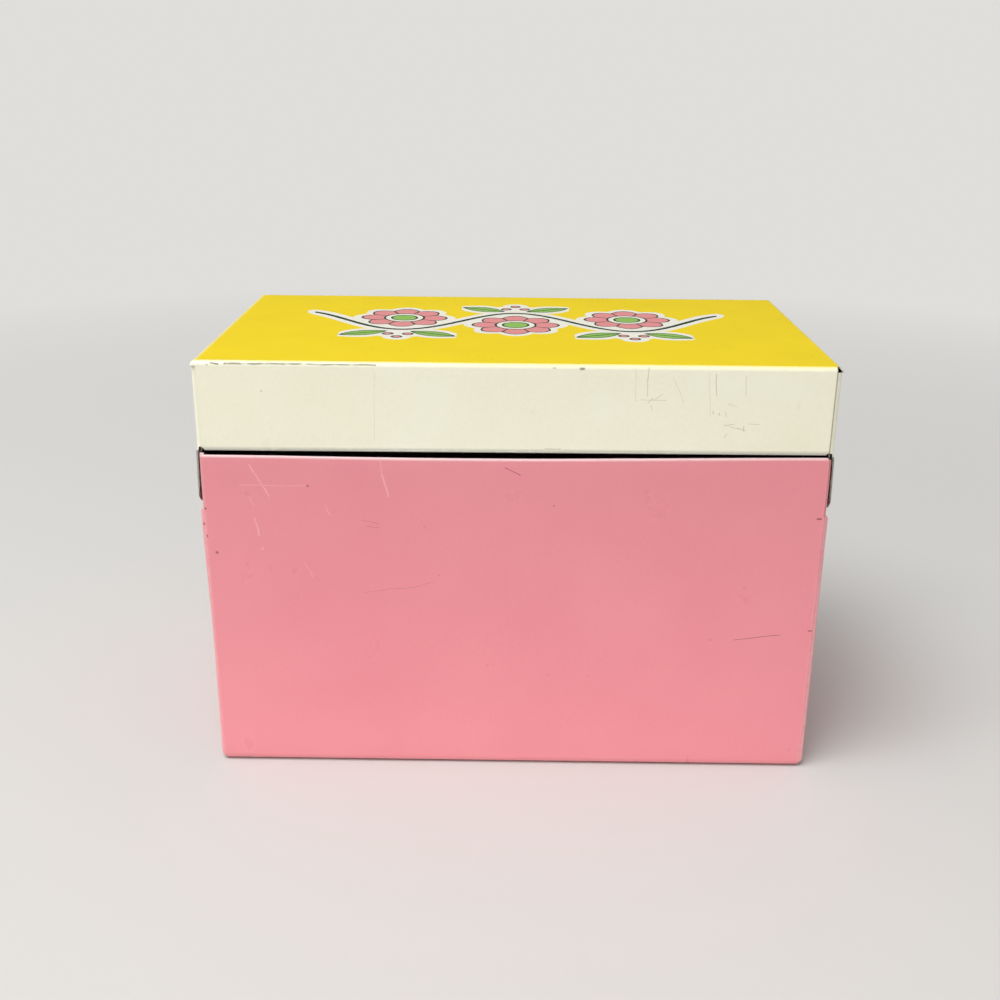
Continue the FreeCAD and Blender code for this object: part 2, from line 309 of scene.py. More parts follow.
class Bench:
    """A piece open for editing, shaped by operators on what is picked by its middle."""

    def __init__(self, name: str) -> None:
        """Take over the primitive that was just added.

        Args:
            name: the piece's name
        """
        self.piece = bpy.context.object
        self.piece.name = name
        self.piece.data.name = name
        apply_place(self.piece)
        bpy.ops.object.mode_set(mode="EDIT")

    @classmethod
    def with_panel(cls, name: str, low: Vector, high: Vector) -> "Bench":
        """Lay out a flat panel between two opposite corners.

        Args:
            name: the piece's name
            low: its lowest corner
            high: its highest corner, which shares its height or its place across

        Returns:
            The bench that holds the panel.
        """
        spread = (high - low) / 2
        upright = spread.x < TOUCH
        bpy.ops.object.select_all(action="DESELECT")
        bpy.ops.mesh.primitive_plane_add(size=2, location=(low + high) / 2,
                                         rotation=(0, math.radians(90.0) if upright else 0, 0))
        bpy.context.object.scale = (spread.z if upright else spread.x, spread.y, 1)
        return cls(name)

    def pick(self, kind: str, test: Test, rim_only: bool = False) -> None:
        """Select the edges or faces whose middle passes a test, and nothing else.

        Args:
            kind: EDGE or FACE
            test: tells whether a middle belongs
            rim_only: whether to pick only edges that have a single face
        """
        bpy.ops.mesh.select_mode(type=kind)
        bpy.ops.mesh.select_all(action="DESELECT")
        work = bmesh.from_edit_mesh(self.piece.data)
        for element in work.edges if kind == "EDGE" else work.faces:
            corners = [corner.co for corner in element.verts]
            middle = sum(corners, Vector((0, 0, 0))) / len(corners)
            if test(middle) and not (rim_only and not element.is_boundary):
                element.select_set(True)
        work.select_flush_mode()
        bmesh.update_edit_mesh(self.piece.data)

    def pick_rim(self, test: Test) -> None:
        """Select the sheet's free edges whose middle passes a test.

        Args:
            test: tells whether a middle belongs
        """
        self.pick("EDGE", test, rim_only=True)

    def draw_out(self, step: Vector) -> None:
        """Extrude what is picked.

        Args:
            step: how far and which way
        """
        bpy.ops.mesh.extrude_region_move(TRANSFORM_OT_translate={"value": tuple(step)})

    def score(self, axis: Axis, places: Iterable[float], test: Test = lambda middle: True) -> None:
        """Divide faces by planes across an axis.

        Args:
            axis: the axis that the planes are square to
            places: where they lie on it
            test: tells, from a face's middle, whether it is divided
        """
        for place in places:
            self.pick("FACE", test)
            bpy.ops.mesh.bisect(plane_co=axis.unit * place, plane_no=axis.unit)

    def trim(self, test: Test) -> None:
        """Delete the faces whose middle passes a test.

        Args:
            test: tells whether a face goes
        """
        self.pick("FACE", test)
        bpy.ops.mesh.delete(type="FACE")

    def shear_off(self, test: Test, place: Vector, normal: Vector) -> None:
        """Divide some faces by a plane, and delete their parts beyond it.

        Args:
            test: tells, from a face's middle, whether it may be cut
            place: a point on the plane
            normal: the direction of the part that goes
        """
        self.pick("FACE", test)
        bpy.ops.mesh.bisect(plane_co=place, plane_no=normal)
        self.trim(lambda middle: test(middle) and (middle - place).dot(normal) > 0)

    def round_edges(self, radius: float, segments: int, affect: str = "EDGES") -> None:
        """Turn the picked square edges, or corners, into arcs.

        Args:
            radius: the arc's radius at the middle of the sheet
            segments: how many faces make the arc
            affect: EDGES or VERTICES
        """
        bpy.ops.mesh.bevel(offset=radius, segments=segments, affect=affect, clamp_overlap=False)

    def reshape(self, shape: Shape) -> None:
        """Move every corner of the mesh to where a shape puts it.

        Args:
            shape: gives a corner's new place
        """
        work = bmesh.from_edit_mesh(self.piece.data)
        for corner in work.verts:
            corner.co = shape(corner.co)
        bmesh.update_edit_mesh(self.piece.data)

    def face_out(self, outward: Vector) -> None:
        """Merge doubled corners and turn the printed face outwards.

        Args:
            outward: the direction that the sheet's furthest face that way looks in
        """
        bpy.ops.mesh.select_mode(type="FACE")
        bpy.ops.mesh.select_all(action="SELECT")
        bpy.ops.mesh.remove_doubles(threshold=MERGE_DISTANCE)
        bpy.ops.mesh.select_all(action="SELECT")
        bpy.ops.mesh.normals_make_consistent(inside=False)
        work = bmesh.from_edit_mesh(self.piece.data)
        furthest = max(work.faces, key=lambda face: face.calc_center_median().dot(outward))
        if furthest.normal.dot(outward) < 0:
            bpy.ops.mesh.flip_normals()

    def close(self) -> bpy.types.Object:
        """Leave editing and return the piece."""
        bpy.ops.object.mode_set(mode="OBJECT")
        return self.piece


@dataclass
class Brake:
    """The picked free edge of a sheet in a folding brake, drawn straight on or bent over."""

    bench: Bench
    spot: Vector
    heading: Vector
    hinge: Vector

    def straight(self, length: float) -> "Brake":
        """Draw the edge on in its own plane.

        Args:
            length: how far

        Returns:
            The brake itself.
        """
        self.bench.draw_out(self.heading * length)
        self.spot = self.spot + self.heading * length
        return self

    def fold(self, degrees: float, radius: float) -> "Brake":
        """Bend the edge over.

        Args:
            degrees: the angle, right-handed about the hinge direction
            radius: the bend's radius at the middle of the sheet

        Returns:
            The brake itself.
        """
        inwards = self.hinge.cross(self.heading) * math.copysign(1.0, degrees)
        centre = self.spot + inwards * radius
        # The spin operator turns left-handed about its axis
        bpy.ops.mesh.spin(steps=max(round(abs(degrees) / ARC_STEP_DEGREES), 4),
                          angle=-math.radians(degrees), center=centre, axis=self.hinge,
                          use_auto_merge=False)
        turn = Matrix.Rotation(math.radians(degrees), 3, self.hinge)
        self.spot = centre + turn @ (self.spot - centre)
        self.heading = turn @ self.heading
        return self

    def hem(self, degrees: float) -> "Brake":
        """Fold the edge flat on itself and draw out the inner leaf.

        Args:
            degrees: a half turn, right-handed or left-handed

        Returns:
            The brake itself.
        """
        return self.fold(degrees, GAUGE.hem_bend).straight(GAUGE.hem_leaf)


def mirror_copy(piece: bpy.types.Object, name: str) -> bpy.types.Object:
    """Return a copy of a right-hand piece for the left, with its own mesh.

    Args:
        piece: the right-hand piece
        name: the copy's name

    Returns:
        The copy, with its faces turned outwards again.
    """
    select_only(piece)
    bpy.ops.object.duplicate(linked=False)
    bpy.context.object.scale.x = -1
    bench = Bench(name)
    bench.face_out(-Axis.X.unit)
    return bench.close()


def thicken(piece: bpy.types.Object) -> None:
    """Give a middle surface its thickness, with a bare inner face and cut edges.

    Args:
        piece: the sheet, with its printed face outwards
    """
    select_only(piece)
    for _ in SheetFace:
        piece.data.materials.append(None)
    bpy.ops.object.modifier_add(type="SOLIDIFY")
    wall = piece.modifiers[-1]
    wall.thickness = GAUGE.sheet
    wall.offset = 0.0
    wall.use_even_offset = True
    wall.material_offset = SheetFace.BARE.value
    wall.material_offset_rim = SheetFace.CUT.value
    bpy.ops.object.modifier_apply(modifier=wall.name)


def punch(piece: bpy.types.Object, centre: Vector, radius: float) -> None:
    """Cut a round hole along the width through a finished sheet.

    Args:
        piece: the sheet
        centre: the middle of the hole
        radius: the hole's radius
    """
    bpy.ops.object.select_all(action="DESELECT")
    bpy.ops.mesh.primitive_cylinder_add(vertices=ROUND_SIDES, radius=radius, depth=3 * GAUGE.sheet,
                                        location=centre, rotation=(0, math.radians(90.0), 0))
    tool = bpy.context.object
    apply_place(tool)
    for _ in SheetFace:
        tool.data.materials.append(None)
    for face in tool.data.polygons:
        face.material_index = SheetFace.CUT.value
    select_only(piece)
    bpy.ops.object.modifier_add(type="BOOLEAN")
    cut = piece.modifiers[-1]
    cut.object = tool
    cut.operation = "DIFFERENCE"
    cut.solver = "EXACT"
    bpy.ops.object.modifier_apply(modifier=cut.name)
    bpy.data.objects.remove(tool)


def linear(colour: str) -> tuple[float, float, float, float]:
    """Turn an sRGB hex colour to the linear values that a shader takes.

    Args:
        colour: six hex digits after a hash sign

    Returns:
        Red, green, blue and an alpha of one.
    """
    parts = [int(colour[start:start + 2], 16) / 255 for start in (1, 3, 5)]
    return (*(part / 12.92 if part <= 0.04045 else ((part + 0.055) / 1.055) ** 2.4 for part in parts), 1.0)


def add_node(tree: bpy.types.NodeTree, kind: str, feeds: dict[int | str, Feed] | None = None,
             **options: object) -> bpy.types.Node:
    """Add a node, set its options and fill its inputs.

    Args:
        tree: the tree that it goes in
        kind: the node's type, without the prefix that shader nodes share
        feeds: what goes in each input, by its name or number: a node, a socket or a value
        options: the node's own options by name

    Returns:
        The node.
    """
    node = tree.nodes.new(kind if kind.startswith("Node") else "ShaderNode" + kind)
    for option, value in options.items():
        setattr(node, option, value)
    for key, value in (feeds or {}).items():
        socket = node.inputs[key] if isinstance(key, int) else \
            next(each for each in node.inputs if each.enabled and each.name == key)
        if isinstance(value, bpy.types.Node):
            value = next(each for each in value.outputs if each.enabled)
        if isinstance(value, bpy.types.NodeSocket):
            tree.links.new(value, socket)
        else:
            socket.default_value = value
    return node


def calc(add: Adder, operation: str, *values: Feed) -> bpy.types.Node:
    """Add a node that calculates with one to three values.

    Args:
        add: adds a node to the material
        operation: the calculation
        values: what it takes, in its inputs' order

    Returns:
        The node.
    """
    return add("Math", dict(enumerate(values)), operation=operation)


def ramp(add: Adder, value: Feed, start: Feed, end: Feed) -> bpy.types.Node:
    """Add a node that climbs from 0 where a value is at start to 1 where it is at end.

    Args:
        add: adds a node to the material
        value: what is read
        start: where the node gives 0
        end: where it gives 1

    Returns:
        The node.
    """
    return add("MapRange", {"Value": value, "From Min": start, "From Max": end})


def blend(add: Adder, factor: Feed, one: Feed, two: Feed) -> bpy.types.Node:
    """Add a node that goes from one colour to another.

    Args:
        add: adds a node to the material
        factor: the second colour's share
        one: the first colour
        two: the second colour

    Returns:
        The node.
    """
    return add("Mix", {"Factor": factor, "A": one, "B": two}, data_type="RGBA")


@dataclass(frozen=True)
class Finish:
    """A surface, made once and shared by the pieces that have it."""

    title: str
    metallic: float = 0.0
    specular: float = 0.5

    def material(self) -> bpy.types.Material:
        """Return the finish's material, made on first use."""
        found = bpy.data.materials.get(self.title)
        if found:
            return found
        material = bpy.data.materials.new(self.title)
        material.use_nodes = True
        tree = material.node_tree
        add = partial(add_node, tree)
        place = add("VectorMath", {0: add("TexCoord").outputs["Object"], 1: (MM_PER_METRE,) * 3},
                    operation="MULTIPLY")
        shader = tree.nodes["Principled BSDF"]
        shader.inputs["Metallic"].default_value = self.metallic
        shader.inputs["Specular IOR Level"].default_value = self.specular
        colour, roughness, normal = self.paint(add, place)
        for name, value in (("Base Color", colour), ("Roughness", roughness), ("Normal", normal)):
            tree.links.new(next(each for each in value.outputs if each.enabled), shader.inputs[name])
        return material

    def paint(self, add: Adder, place: bpy.types.Node) -> tuple[bpy.types.Node, ...]:
        """Return the nodes of the colour, the roughness and the normal.

        Args:
            add: adds a node to the material
            place: the point, in millimetres

        Returns:
            The three nodes.
        """
        raise NotImplementedError


@dataclass(frozen=True)
class Stroke:
    """A mark on the rear wall, by its two ends in millimetres across and up."""

    start: tuple[float, float]
    end: tuple[float, float]
    width: float = 0.16

    @staticmethod
    def group() -> bpy.types.NodeTree:
        """Return the node group that is 1 on a line between two points, made on first use."""
        found = bpy.data.node_groups.get("stroke")
        if found:
            return found
        tree = bpy.data.node_groups.new("stroke", "ShaderNodeTree")
        for name in ("Place", "Start", "Span"):
            tree.interface.new_socket(name=name, in_out="INPUT", socket_type="NodeSocketVector")
        tree.interface.new_socket(name="Width", in_out="INPUT", socket_type="NodeSocketFloat")
        tree.interface.new_socket(name="Mask", in_out="OUTPUT", socket_type="NodeSocketFloat")
        add = partial(add_node, tree)
        given = add("NodeGroupInput").outputs
        away = add("VectorMath", {0: given["Place"], 1: given["Start"]}, operation="SUBTRACT")
        along = add("VectorMath", {0: away, 1: given["Span"]}, operation="DOT_PRODUCT").outputs["Value"]
        whole = add("VectorMath", {0: given["Span"], 1: given["Span"]},
                    operation="DOT_PRODUCT").outputs["Value"]
        share = add("Math", {0: along, 1: whole}, operation="DIVIDE", use_clamp=True)
        foot = add("VectorMath", {0: given["Span"], "Scale": share}, operation="SCALE")
        gap = add("VectorMath", {0: away, 1: foot}, operation="DISTANCE").outputs["Value"]
        mask = ramp(add, gap, given["Width"], 0.0)
        tree.links.new(mask.outputs["Result"], add("NodeGroupOutput").inputs["Mask"])
        return tree

    def draw(self, add: Adder, flat_place: bpy.types.Node) -> bpy.types.Node:
        """Return a node that is 1 on the mark.

        Args:
            add: adds a node to the material
            flat_place: the point in the wall's plane, in millimetres

        Returns:
            The node.
        """
        span = (self.end[0] - self.start[0], 0.0, self.end[1] - self.start[1])
        return add("Group", {"Place": flat_place, "Start": (self.start[0], 0.0, self.start[1]),
                             "Span": span, "Width": self.width}, node_tree=self.group())


BODY_SCRATCHES = (
    Stroke((-56.5, 72.5), (-52.7, 65.5), 0.20), Stroke((-58.7, 68.0), (-44.6, 67.9), 0.10),
    Stroke((-57.1, 65.3), (-56.0, 63.2), 0.12), Stroke((-56.0, 60.3), (-55.3, 56.4), 0.22),
    Stroke((-54.9, 53.5), (-54.8, 53.3), 0.40), Stroke((-28.6, 74.0), (-28.4, 70.8), 0.10),
    Stroke((-28.4, 70.8), (-26.9, 65.8), 0.22), Stroke((-45.6, 50.0), (-44.0, 46.7), 0.10),
    Stroke((-40.7, 63.6), (-39.7, 61.3), 0.10),
)
BODY_MARKS = (
    Stroke((-64.8, 52.3), (-64.7, 52.2), 0.42), Stroke((-44.4, 67.9), (-44.3, 67.9), 0.32),
    Stroke((65.4, 61.7), (66.1, 61.7), 0.30), Stroke((-66.6, 62.5), (-66.6, 62.4), 0.36),
    Stroke((-67.2, 58.9), (-67.2, 58.7), 0.34), Stroke((-66.7, 56.2), (-66.7, 56.0), 0.30),
    Stroke((-2.0, 72.5), (1.2, 70.9), 0.12), Stroke((49.5, 32.6), (59.7, 34.0), 0.10),
    Stroke((65.9, 35.0), (66.7, 35.0), 0.22), Stroke((-32.9, 43.1), (-27.6, 44.0), 0.05),
    Stroke((-27.6, 44.0), (-22.0, 44.5), 0.05), Stroke((-22.0, 44.5), (-17.6, 46.0), 0.05),
    Stroke((-32.8, 60.3), (-29.4, 59.5), 0.05), Stroke((-32.2, 58.9), (-29.1, 58.5), 0.05),
    Stroke((8.5, 64.1), (8.6, 64.1), 0.20), Stroke((-16.3, 47.6), (-16.2, 47.6), 0.12),
)
LID_SCRATCHES = (
    Stroke((27.4, 94.6), (27.2, 92.0), 0.16), Stroke((27.2, 92.0), (27.4, 88.6), 0.10),
    Stroke((24.8, 94.4), (25.0, 87.3), 0.05), Stroke((32.5, 92.6), (33.9, 90.0), 0.07),
    Stroke((33.9, 90.0), (34.9, 87.3), 0.07), Stroke((27.6, 87.3), (28.6, 88.1), 0.16),
    Stroke((28.9, 87.8), (30.6, 89.0), 0.08), Stroke((26.0, 87.8), (31.5, 87.7), 0.07),
    Stroke((28.2, 86.9), (28.6, 85.6), 0.08), Stroke((40.0, 94.0), (40.7, 84.2), 0.05),
    Stroke((41.4, 93.6), (41.7, 88.9), 0.12), Stroke((47.6, 93.1), (47.8, 88.9), 0.08),
    Stroke((43.7, 82.4), (46.1, 82.8), 0.13), Stroke((44.9, 82.2), (48.2, 81.4), 0.12),
    Stroke((47.8, 82.3), (47.9, 81.2), 0.13), Stroke((48.9, 82.8), (51.1, 82.7), 0.08),
    Stroke((43.9, 79.8), (44.5, 80.7), 0.12), Stroke((44.1, 87.2), (46.2, 86.5), 0.07),
    Stroke((41.2, 85.6), (41.3, 84.9), 0.14), Stroke((42.5, 85.1), (42.7, 84.7), 0.16),
    Stroke((43.9, 85.3), (44.0, 84.3), 0.10), Stroke((-29.3, 93.1), (-29.6, 78.4), 0.04),
)
LID_MARKS = (
    Stroke((-60.3, 94.62), (-45.0, 94.62), 0.32), Stroke((-45.0, 94.62), (-29.1, 94.55), 0.22),
    Stroke((-63.3, 94.65), (-61.7, 94.45), 0.28), Stroke((-64.0, 94.2), (-63.9, 94.2), 0.24),
    Stroke((13.3, 94.2), (13.9, 94.2), 0.42), Stroke((7.8, 94.3), (8.2, 94.3), 0.20),
    Stroke((6.4, 76.9), (9.5, 76.9), 0.10), Stroke((-53.0, 88.8), (-52.9, 88.8), 0.16),
)


@dataclass(frozen=True)
class Enamel(Finish):
    """Gloss enamel that was rolled on flat tinplate and baked before the sheet was folded.

    It gives the eye an even, slightly mottled colour under a soft shine, a very fine peel, pale
    rubbed folds with a painted highlight on them, pale rims that are a painted highlight with
    some rubbed paint, dark seams that are painted shade, and chips along the edges where the tin
    and its rust show.
    """

    specular: float = 0.4
    ground: str = "#e99098"
    shade: str = "#e68b94"
    # pale edge colour: rubbed paint with a painted highlight on the folds
    rubbed_highlight: str = "#f4bfbd"
    half_x: float = END_HIGH.x
    half_y: float = WRAP_HIGH.y
    level: float = 0.0
    scratches: tuple[Stroke, ...] = BODY_SCRATCHES
    marks: tuple[Stroke, ...] = BODY_MARKS
    scratch_colour: str = "#fbbcbb"
    mark_colour: str = "#7d3a38"
    # rim colour: a painted highlight on the rolled rims, with some rubbed paint
    rim_shading_colour: str = "#f8d2d4"
    rim_core: float = 0.25
    rim_reach: float = 0.75
    seam_base: float = 62.0
    seam_x: float = WRAP_HIGH.x + BODY_FORM.spread_x
    # seam colour: painted shade in the gap at the seam
    seam_shade_colour: str = "#b86c70"
    seam_width: float = 0.22
    seam_depth: float = 1.0
    tin: str = "#8d857b"
    rust: str = "#7b3f2b"
    sheen_roughness: float = 0.3
    edge_reach: float = 1.1
    chip_start: float = 0.90
    mottle_size: float = 24.0
    grain_size: float = 0.45
    chip_size: float = 1.3
    wave_size: float = 32.0
    peel_size: float = 1.2
    handled_size: float = 9.0
    rust_scale: float = 0.9
    mottle_span: tuple[float, float] = (0.35, 0.75)
    grain_light: tuple[float, float] = (0.975, 1.02)
    rim_break: tuple[float, float] = (0.25, 0.45)
    rim_least: float = 0.7
    rust_span: tuple[float, float] = (0.45, 0.6)
    seam_shade_strength: float = 0.75
    scratch_strength: float = 0.8
    chip_edge_weight: float = 0.26
    chip_fade: float = 0.04
    sheen_change: float = 0.07
    hurt_roughness: float = 0.25
    stroke_wobble: tuple[float, float, float] = (0.6, 0.6, 0.4)
    stroke_break: tuple[float, float] = (0.32, 0.48)
    stroke_least: float = 0.4
    wall_reach: float = 1.5
    rim_depth: float = 1.2
    stray_scale: float = 0.25
    break_scale: float = 0.4
    grain_span: tuple[float, float] = (0.2, 0.8)
    dent_strength: float = 0.35
    dent_depth: float = 0.0006
    peel_strength: float = 0.06
    peel_depth: float = 0.0001
    wear_strength: float = 0.3
    wear_depth: float = 0.00006

    def print_on(self, add: Adder, place: bpy.types.Node) -> bpy.types.Node:
        """Return the printed colour before any wear.

        Args:
            add: adds a node to the material
            place: the point, in millimetres

        Returns:
            The colour's node.
        """
        mottle = add("TexNoise", {"Vector": place, "Scale": 1 / self.mottle_size, "Detail": 3.0})
        soft = ramp(add, mottle, self.mottle_span[0], self.mottle_span[1])
        return blend(add, soft, linear(self.ground), linear(self.shade))

    def edge_nearness(self, add: Adder, place: bpy.types.Node) -> bpy.types.Node:
        """Return a node that is 1 on the tin's outer edges and fades to 0 inside the reach.

        Args:
            add: adds a node to the material
            place: the point, in millimetres

        Returns:
            The node.
        """
        size = add("VectorMath", {0: place}, operation="ABSOLUTE")
        ends = add("SeparateXYZ", {"Vector": size}).outputs
        height = add("SeparateXYZ", {"Vector": place}).outputs["Z"]
        across = calc(add, "SUBTRACT", self.half_x, ends["X"])
        deep = calc(add, "SUBTRACT", self.half_y, ends["Y"])
        above = calc(add, "ABSOLUTE", calc(add, "SUBTRACT", height, self.level))
        less = calc(add, "MINIMUM", across, deep)
        more = calc(add, "MAXIMUM", across, deep)
        second = calc(add, "MAXIMUM", less, calc(add, "MINIMUM", more, above))
        return ramp(add, second, self.edge_reach, 0.0)

    def wall_marks(self, add: Adder, place: bpy.types.Node, strokes: Sequence[Stroke]) -> bpy.types.Node:
        """Return a node that is 1 on some marks, broken up and only on the rear wall.

        Args:
            add: adds a node to the material
            place: the point, in millimetres
            strokes: the marks

        Returns:
            The node.
        """
        stray = add("TexNoise", {"Vector": place, "Scale": self.stray_scale, "Detail": 2.0}).outputs["Color"]
        shift = add("VectorMath", {0: stray, 1: (0.5, 0.5, 0.5)}, operation="SUBTRACT")
        wobbled = add("VectorMath", {0: shift, 1: self.stroke_wobble, 2: place}, operation="MULTIPLY_ADD")
        flat = add("VectorMath", {0: wobbled, 1: (1.0, 0.0, 1.0)}, operation="MULTIPLY")
        drawn = [stroke.draw(add, flat) for stroke in strokes]
        union = reduce(lambda one, two: calc(add, "MAXIMUM", one, two), drawn)
        broken = add("TexNoise", {"Vector": place, "Scale": self.break_scale, "Detail": 5.0})
        kept = add("MapRange", {"Value": broken, "From Min": self.stroke_break[0],
                                "From Max": self.stroke_break[1], "To Min": self.stroke_least})
        depth = add("SeparateXYZ", {"Vector": place}).outputs["Y"]
        rear = calc(add, "LESS_THAN", depth, self.wall_reach - self.half_y)
        shown = calc(add, "MULTIPLY", union, kept)
        return calc(add, "MULTIPLY", shown, rear)

    def rim_shading_and_rub(self, add: Adder, place: bpy.types.Node) -> bpy.types.Node:
        """Return a node that is 1 on the body's folded rims and fades below them, where a highlight is
        painted pale, with some rubbed paint.

        Args:
            add: adds a node to the material
            place: the point, in millimetres

        Returns:
            The node.
        """
        spot = add("SeparateXYZ", {"Vector": place}).outputs
        lift = add("MapRange", {"Value": spot["X"], "From Min": BODY_FORM.rise_start,
                                "From Max": BODY_FORM.rise_end, "To Max": BODY_FORM.rise},
                   interpolation_type="SMOOTHSTEP")
        aside = calc(add, "ABSOLUTE", calc(add, "SUBTRACT", spot["X"], BODY_FORM.sag_x))
        sag = add("MapRange", {"Value": aside, "From Min": BODY_FORM.sag_reach, "From Max": 0.0,
                               "To Max": BODY_FORM.sag}, interpolation_type="SMOOTHSTEP")
        lifted = calc(add, "SUBTRACT", lift, sag)
        level = calc(add, "ADD", lifted, BODY_FORM.rear_top_z - BODY_FORM.sink)
        below = calc(add, "SUBTRACT", level, spot["Z"])
        rear = ramp(add, below, self.rim_reach, self.rim_core)
        behind = calc(add, "LESS_THAN", spot["Y"], self.rim_depth - self.half_y)
        # the neck's top edge takes the same painted highlight
        neck = ramp(add, spot["Z"], WRAP_HIGH.z - self.rim_reach, WRAP_HIGH.z - self.rim_core)
        return calc(add, "MAXIMUM", calc(add, "MULTIPLY", rear, behind), neck)

    def seam_shade_line(self, add: Adder, place: bpy.types.Node) -> bpy.types.Node:
        """Return a node that is 1 in the seam beside the right corners, where the shade in the gap is
        painted dark.

        Args:
            add: adds a node to the material
            place: the point, in millimetres

        Returns:
            The node.
        """
        spot = add("SeparateXYZ", {"Vector": place}).outputs
        off = calc(add, "SUBTRACT", spot["X"], self.seam_x)
        line = ramp(add, calc(add, "ABSOLUTE", off), self.seam_width, self.seam_width / 3)
        deep = calc(add, "ABSOLUTE", spot["Y"])
        on_wall = calc(add, "GREATER_THAN", deep, self.half_y - self.seam_depth)
        high = calc(add, "GREATER_THAN", spot["Z"], self.seam_base)
        shown = calc(add, "MULTIPLY", on_wall, high)
        return calc(add, "MULTIPLY", line, shown)

    def paint(self, add: Adder, place: bpy.types.Node) -> tuple[bpy.types.Node, ...]:
        """Return the nodes of the colour, the roughness and the normal.

        Args:
            add: adds a node to the material
            place: the point, in millimetres

        Returns:
            The three nodes.
        """
        colour = self.print_on(add, place)
        grain = add("TexNoise", {"Vector": place, "Scale": 1 / self.grain_size, "Detail": 1.0})
        light = add("MapRange", {"Value": grain, "From Min": self.grain_span[0],
                                 "From Max": self.grain_span[1], "To Min": self.grain_light[0],
                                 "To Max": self.grain_light[1]})
        colour = add("VectorMath", {0: colour, "Scale": light}, operation="SCALE")

        near = self.edge_nearness(add, place)
        chip_noise = add("TexNoise", {"Vector": place, "Scale": 1 / self.chip_size, "Detail": 5.0})
        # pale outer edges and folds: rubbed paint plus a painted highlight
        rub_and_highlight = calc(add, "MULTIPLY", near, chip_noise)
        colour = blend(add, rub_and_highlight, colour, linear(self.rubbed_highlight))
        # rims: a painted highlight with rubbed paint on the body, painted shade on the lid's lower hem
        rim_breakup = add("MapRange", {"Value": chip_noise, "From Min": self.rim_break[0],
                                    "From Max": self.rim_break[1], "To Min": self.rim_least})
        rim = calc(add, "MULTIPLY", self.rim_shading_and_rub(add, place), rim_breakup)
        colour = blend(add, rim, colour, linear(self.rim_shading_colour))
        # dark seam line: painted shade in the gap beside the right corners
        seam = calc(add, "MULTIPLY", self.seam_shade_line(add, place), self.seam_shade_strength)
        colour = blend(add, seam, colour, linear(self.seam_shade_colour))

        scratch = self.wall_marks(add, place, self.scratches)
        faint = calc(add, "MULTIPLY", scratch, self.scratch_strength)
        colour = blend(add, faint, colour, linear(self.scratch_colour))
        mark = self.wall_marks(add, place, self.marks)
        colour = blend(add, mark, colour, linear(self.mark_colour))

        worn = calc(add, "MULTIPLY_ADD", near, self.chip_edge_weight, chip_noise)
        chip = ramp(add, worn, self.chip_start, self.chip_start + self.chip_fade)
        rust_noise = add("TexNoise", {"Vector": place, "Scale": self.rust_scale, "Detail": 4.0})
        rusty = ramp(add, rust_noise, self.rust_span[0], self.rust_span[1])
        metal = blend(add, rusty, linear(self.tin), linear(self.rust))
        colour = blend(add, chip, colour, metal)

        handled = add("TexNoise", {"Vector": place, "Scale": 1 / self.handled_size, "Detail": 4.0})
        dull = add("MapRange", {"Value": handled, "To Min": self.sheen_roughness - self.sheen_change,
                                "To Max": self.sheen_roughness + self.sheen_change})
        hurt = calc(add, "MAXIMUM", chip, scratch)
        roughness = calc(add, "MULTIPLY_ADD", hurt, self.hurt_roughness, dull)

        wave = add("TexNoise", {"Vector": place, "Scale": 1 / self.wave_size, "Detail": 1.0})
        peel = add("TexNoise", {"Vector": place, "Scale": 1 / self.peel_size, "Detail": 1.0})
        dents = add("Bump", {"Height": wave, "Strength": self.dent_strength, "Distance": self.dent_depth})
        skin = add("Bump", {"Height": peel, "Strength": self.peel_strength, "Distance": self.peel_depth,
                            "Normal": dents})
        whole = calc(add, "SUBTRACT", 1.0, hurt)
        normal = add("Bump", {"Height": whole, "Strength": self.wear_strength,
                              "Distance": self.wear_depth, "Normal": skin})
        return colour, roughness, normal


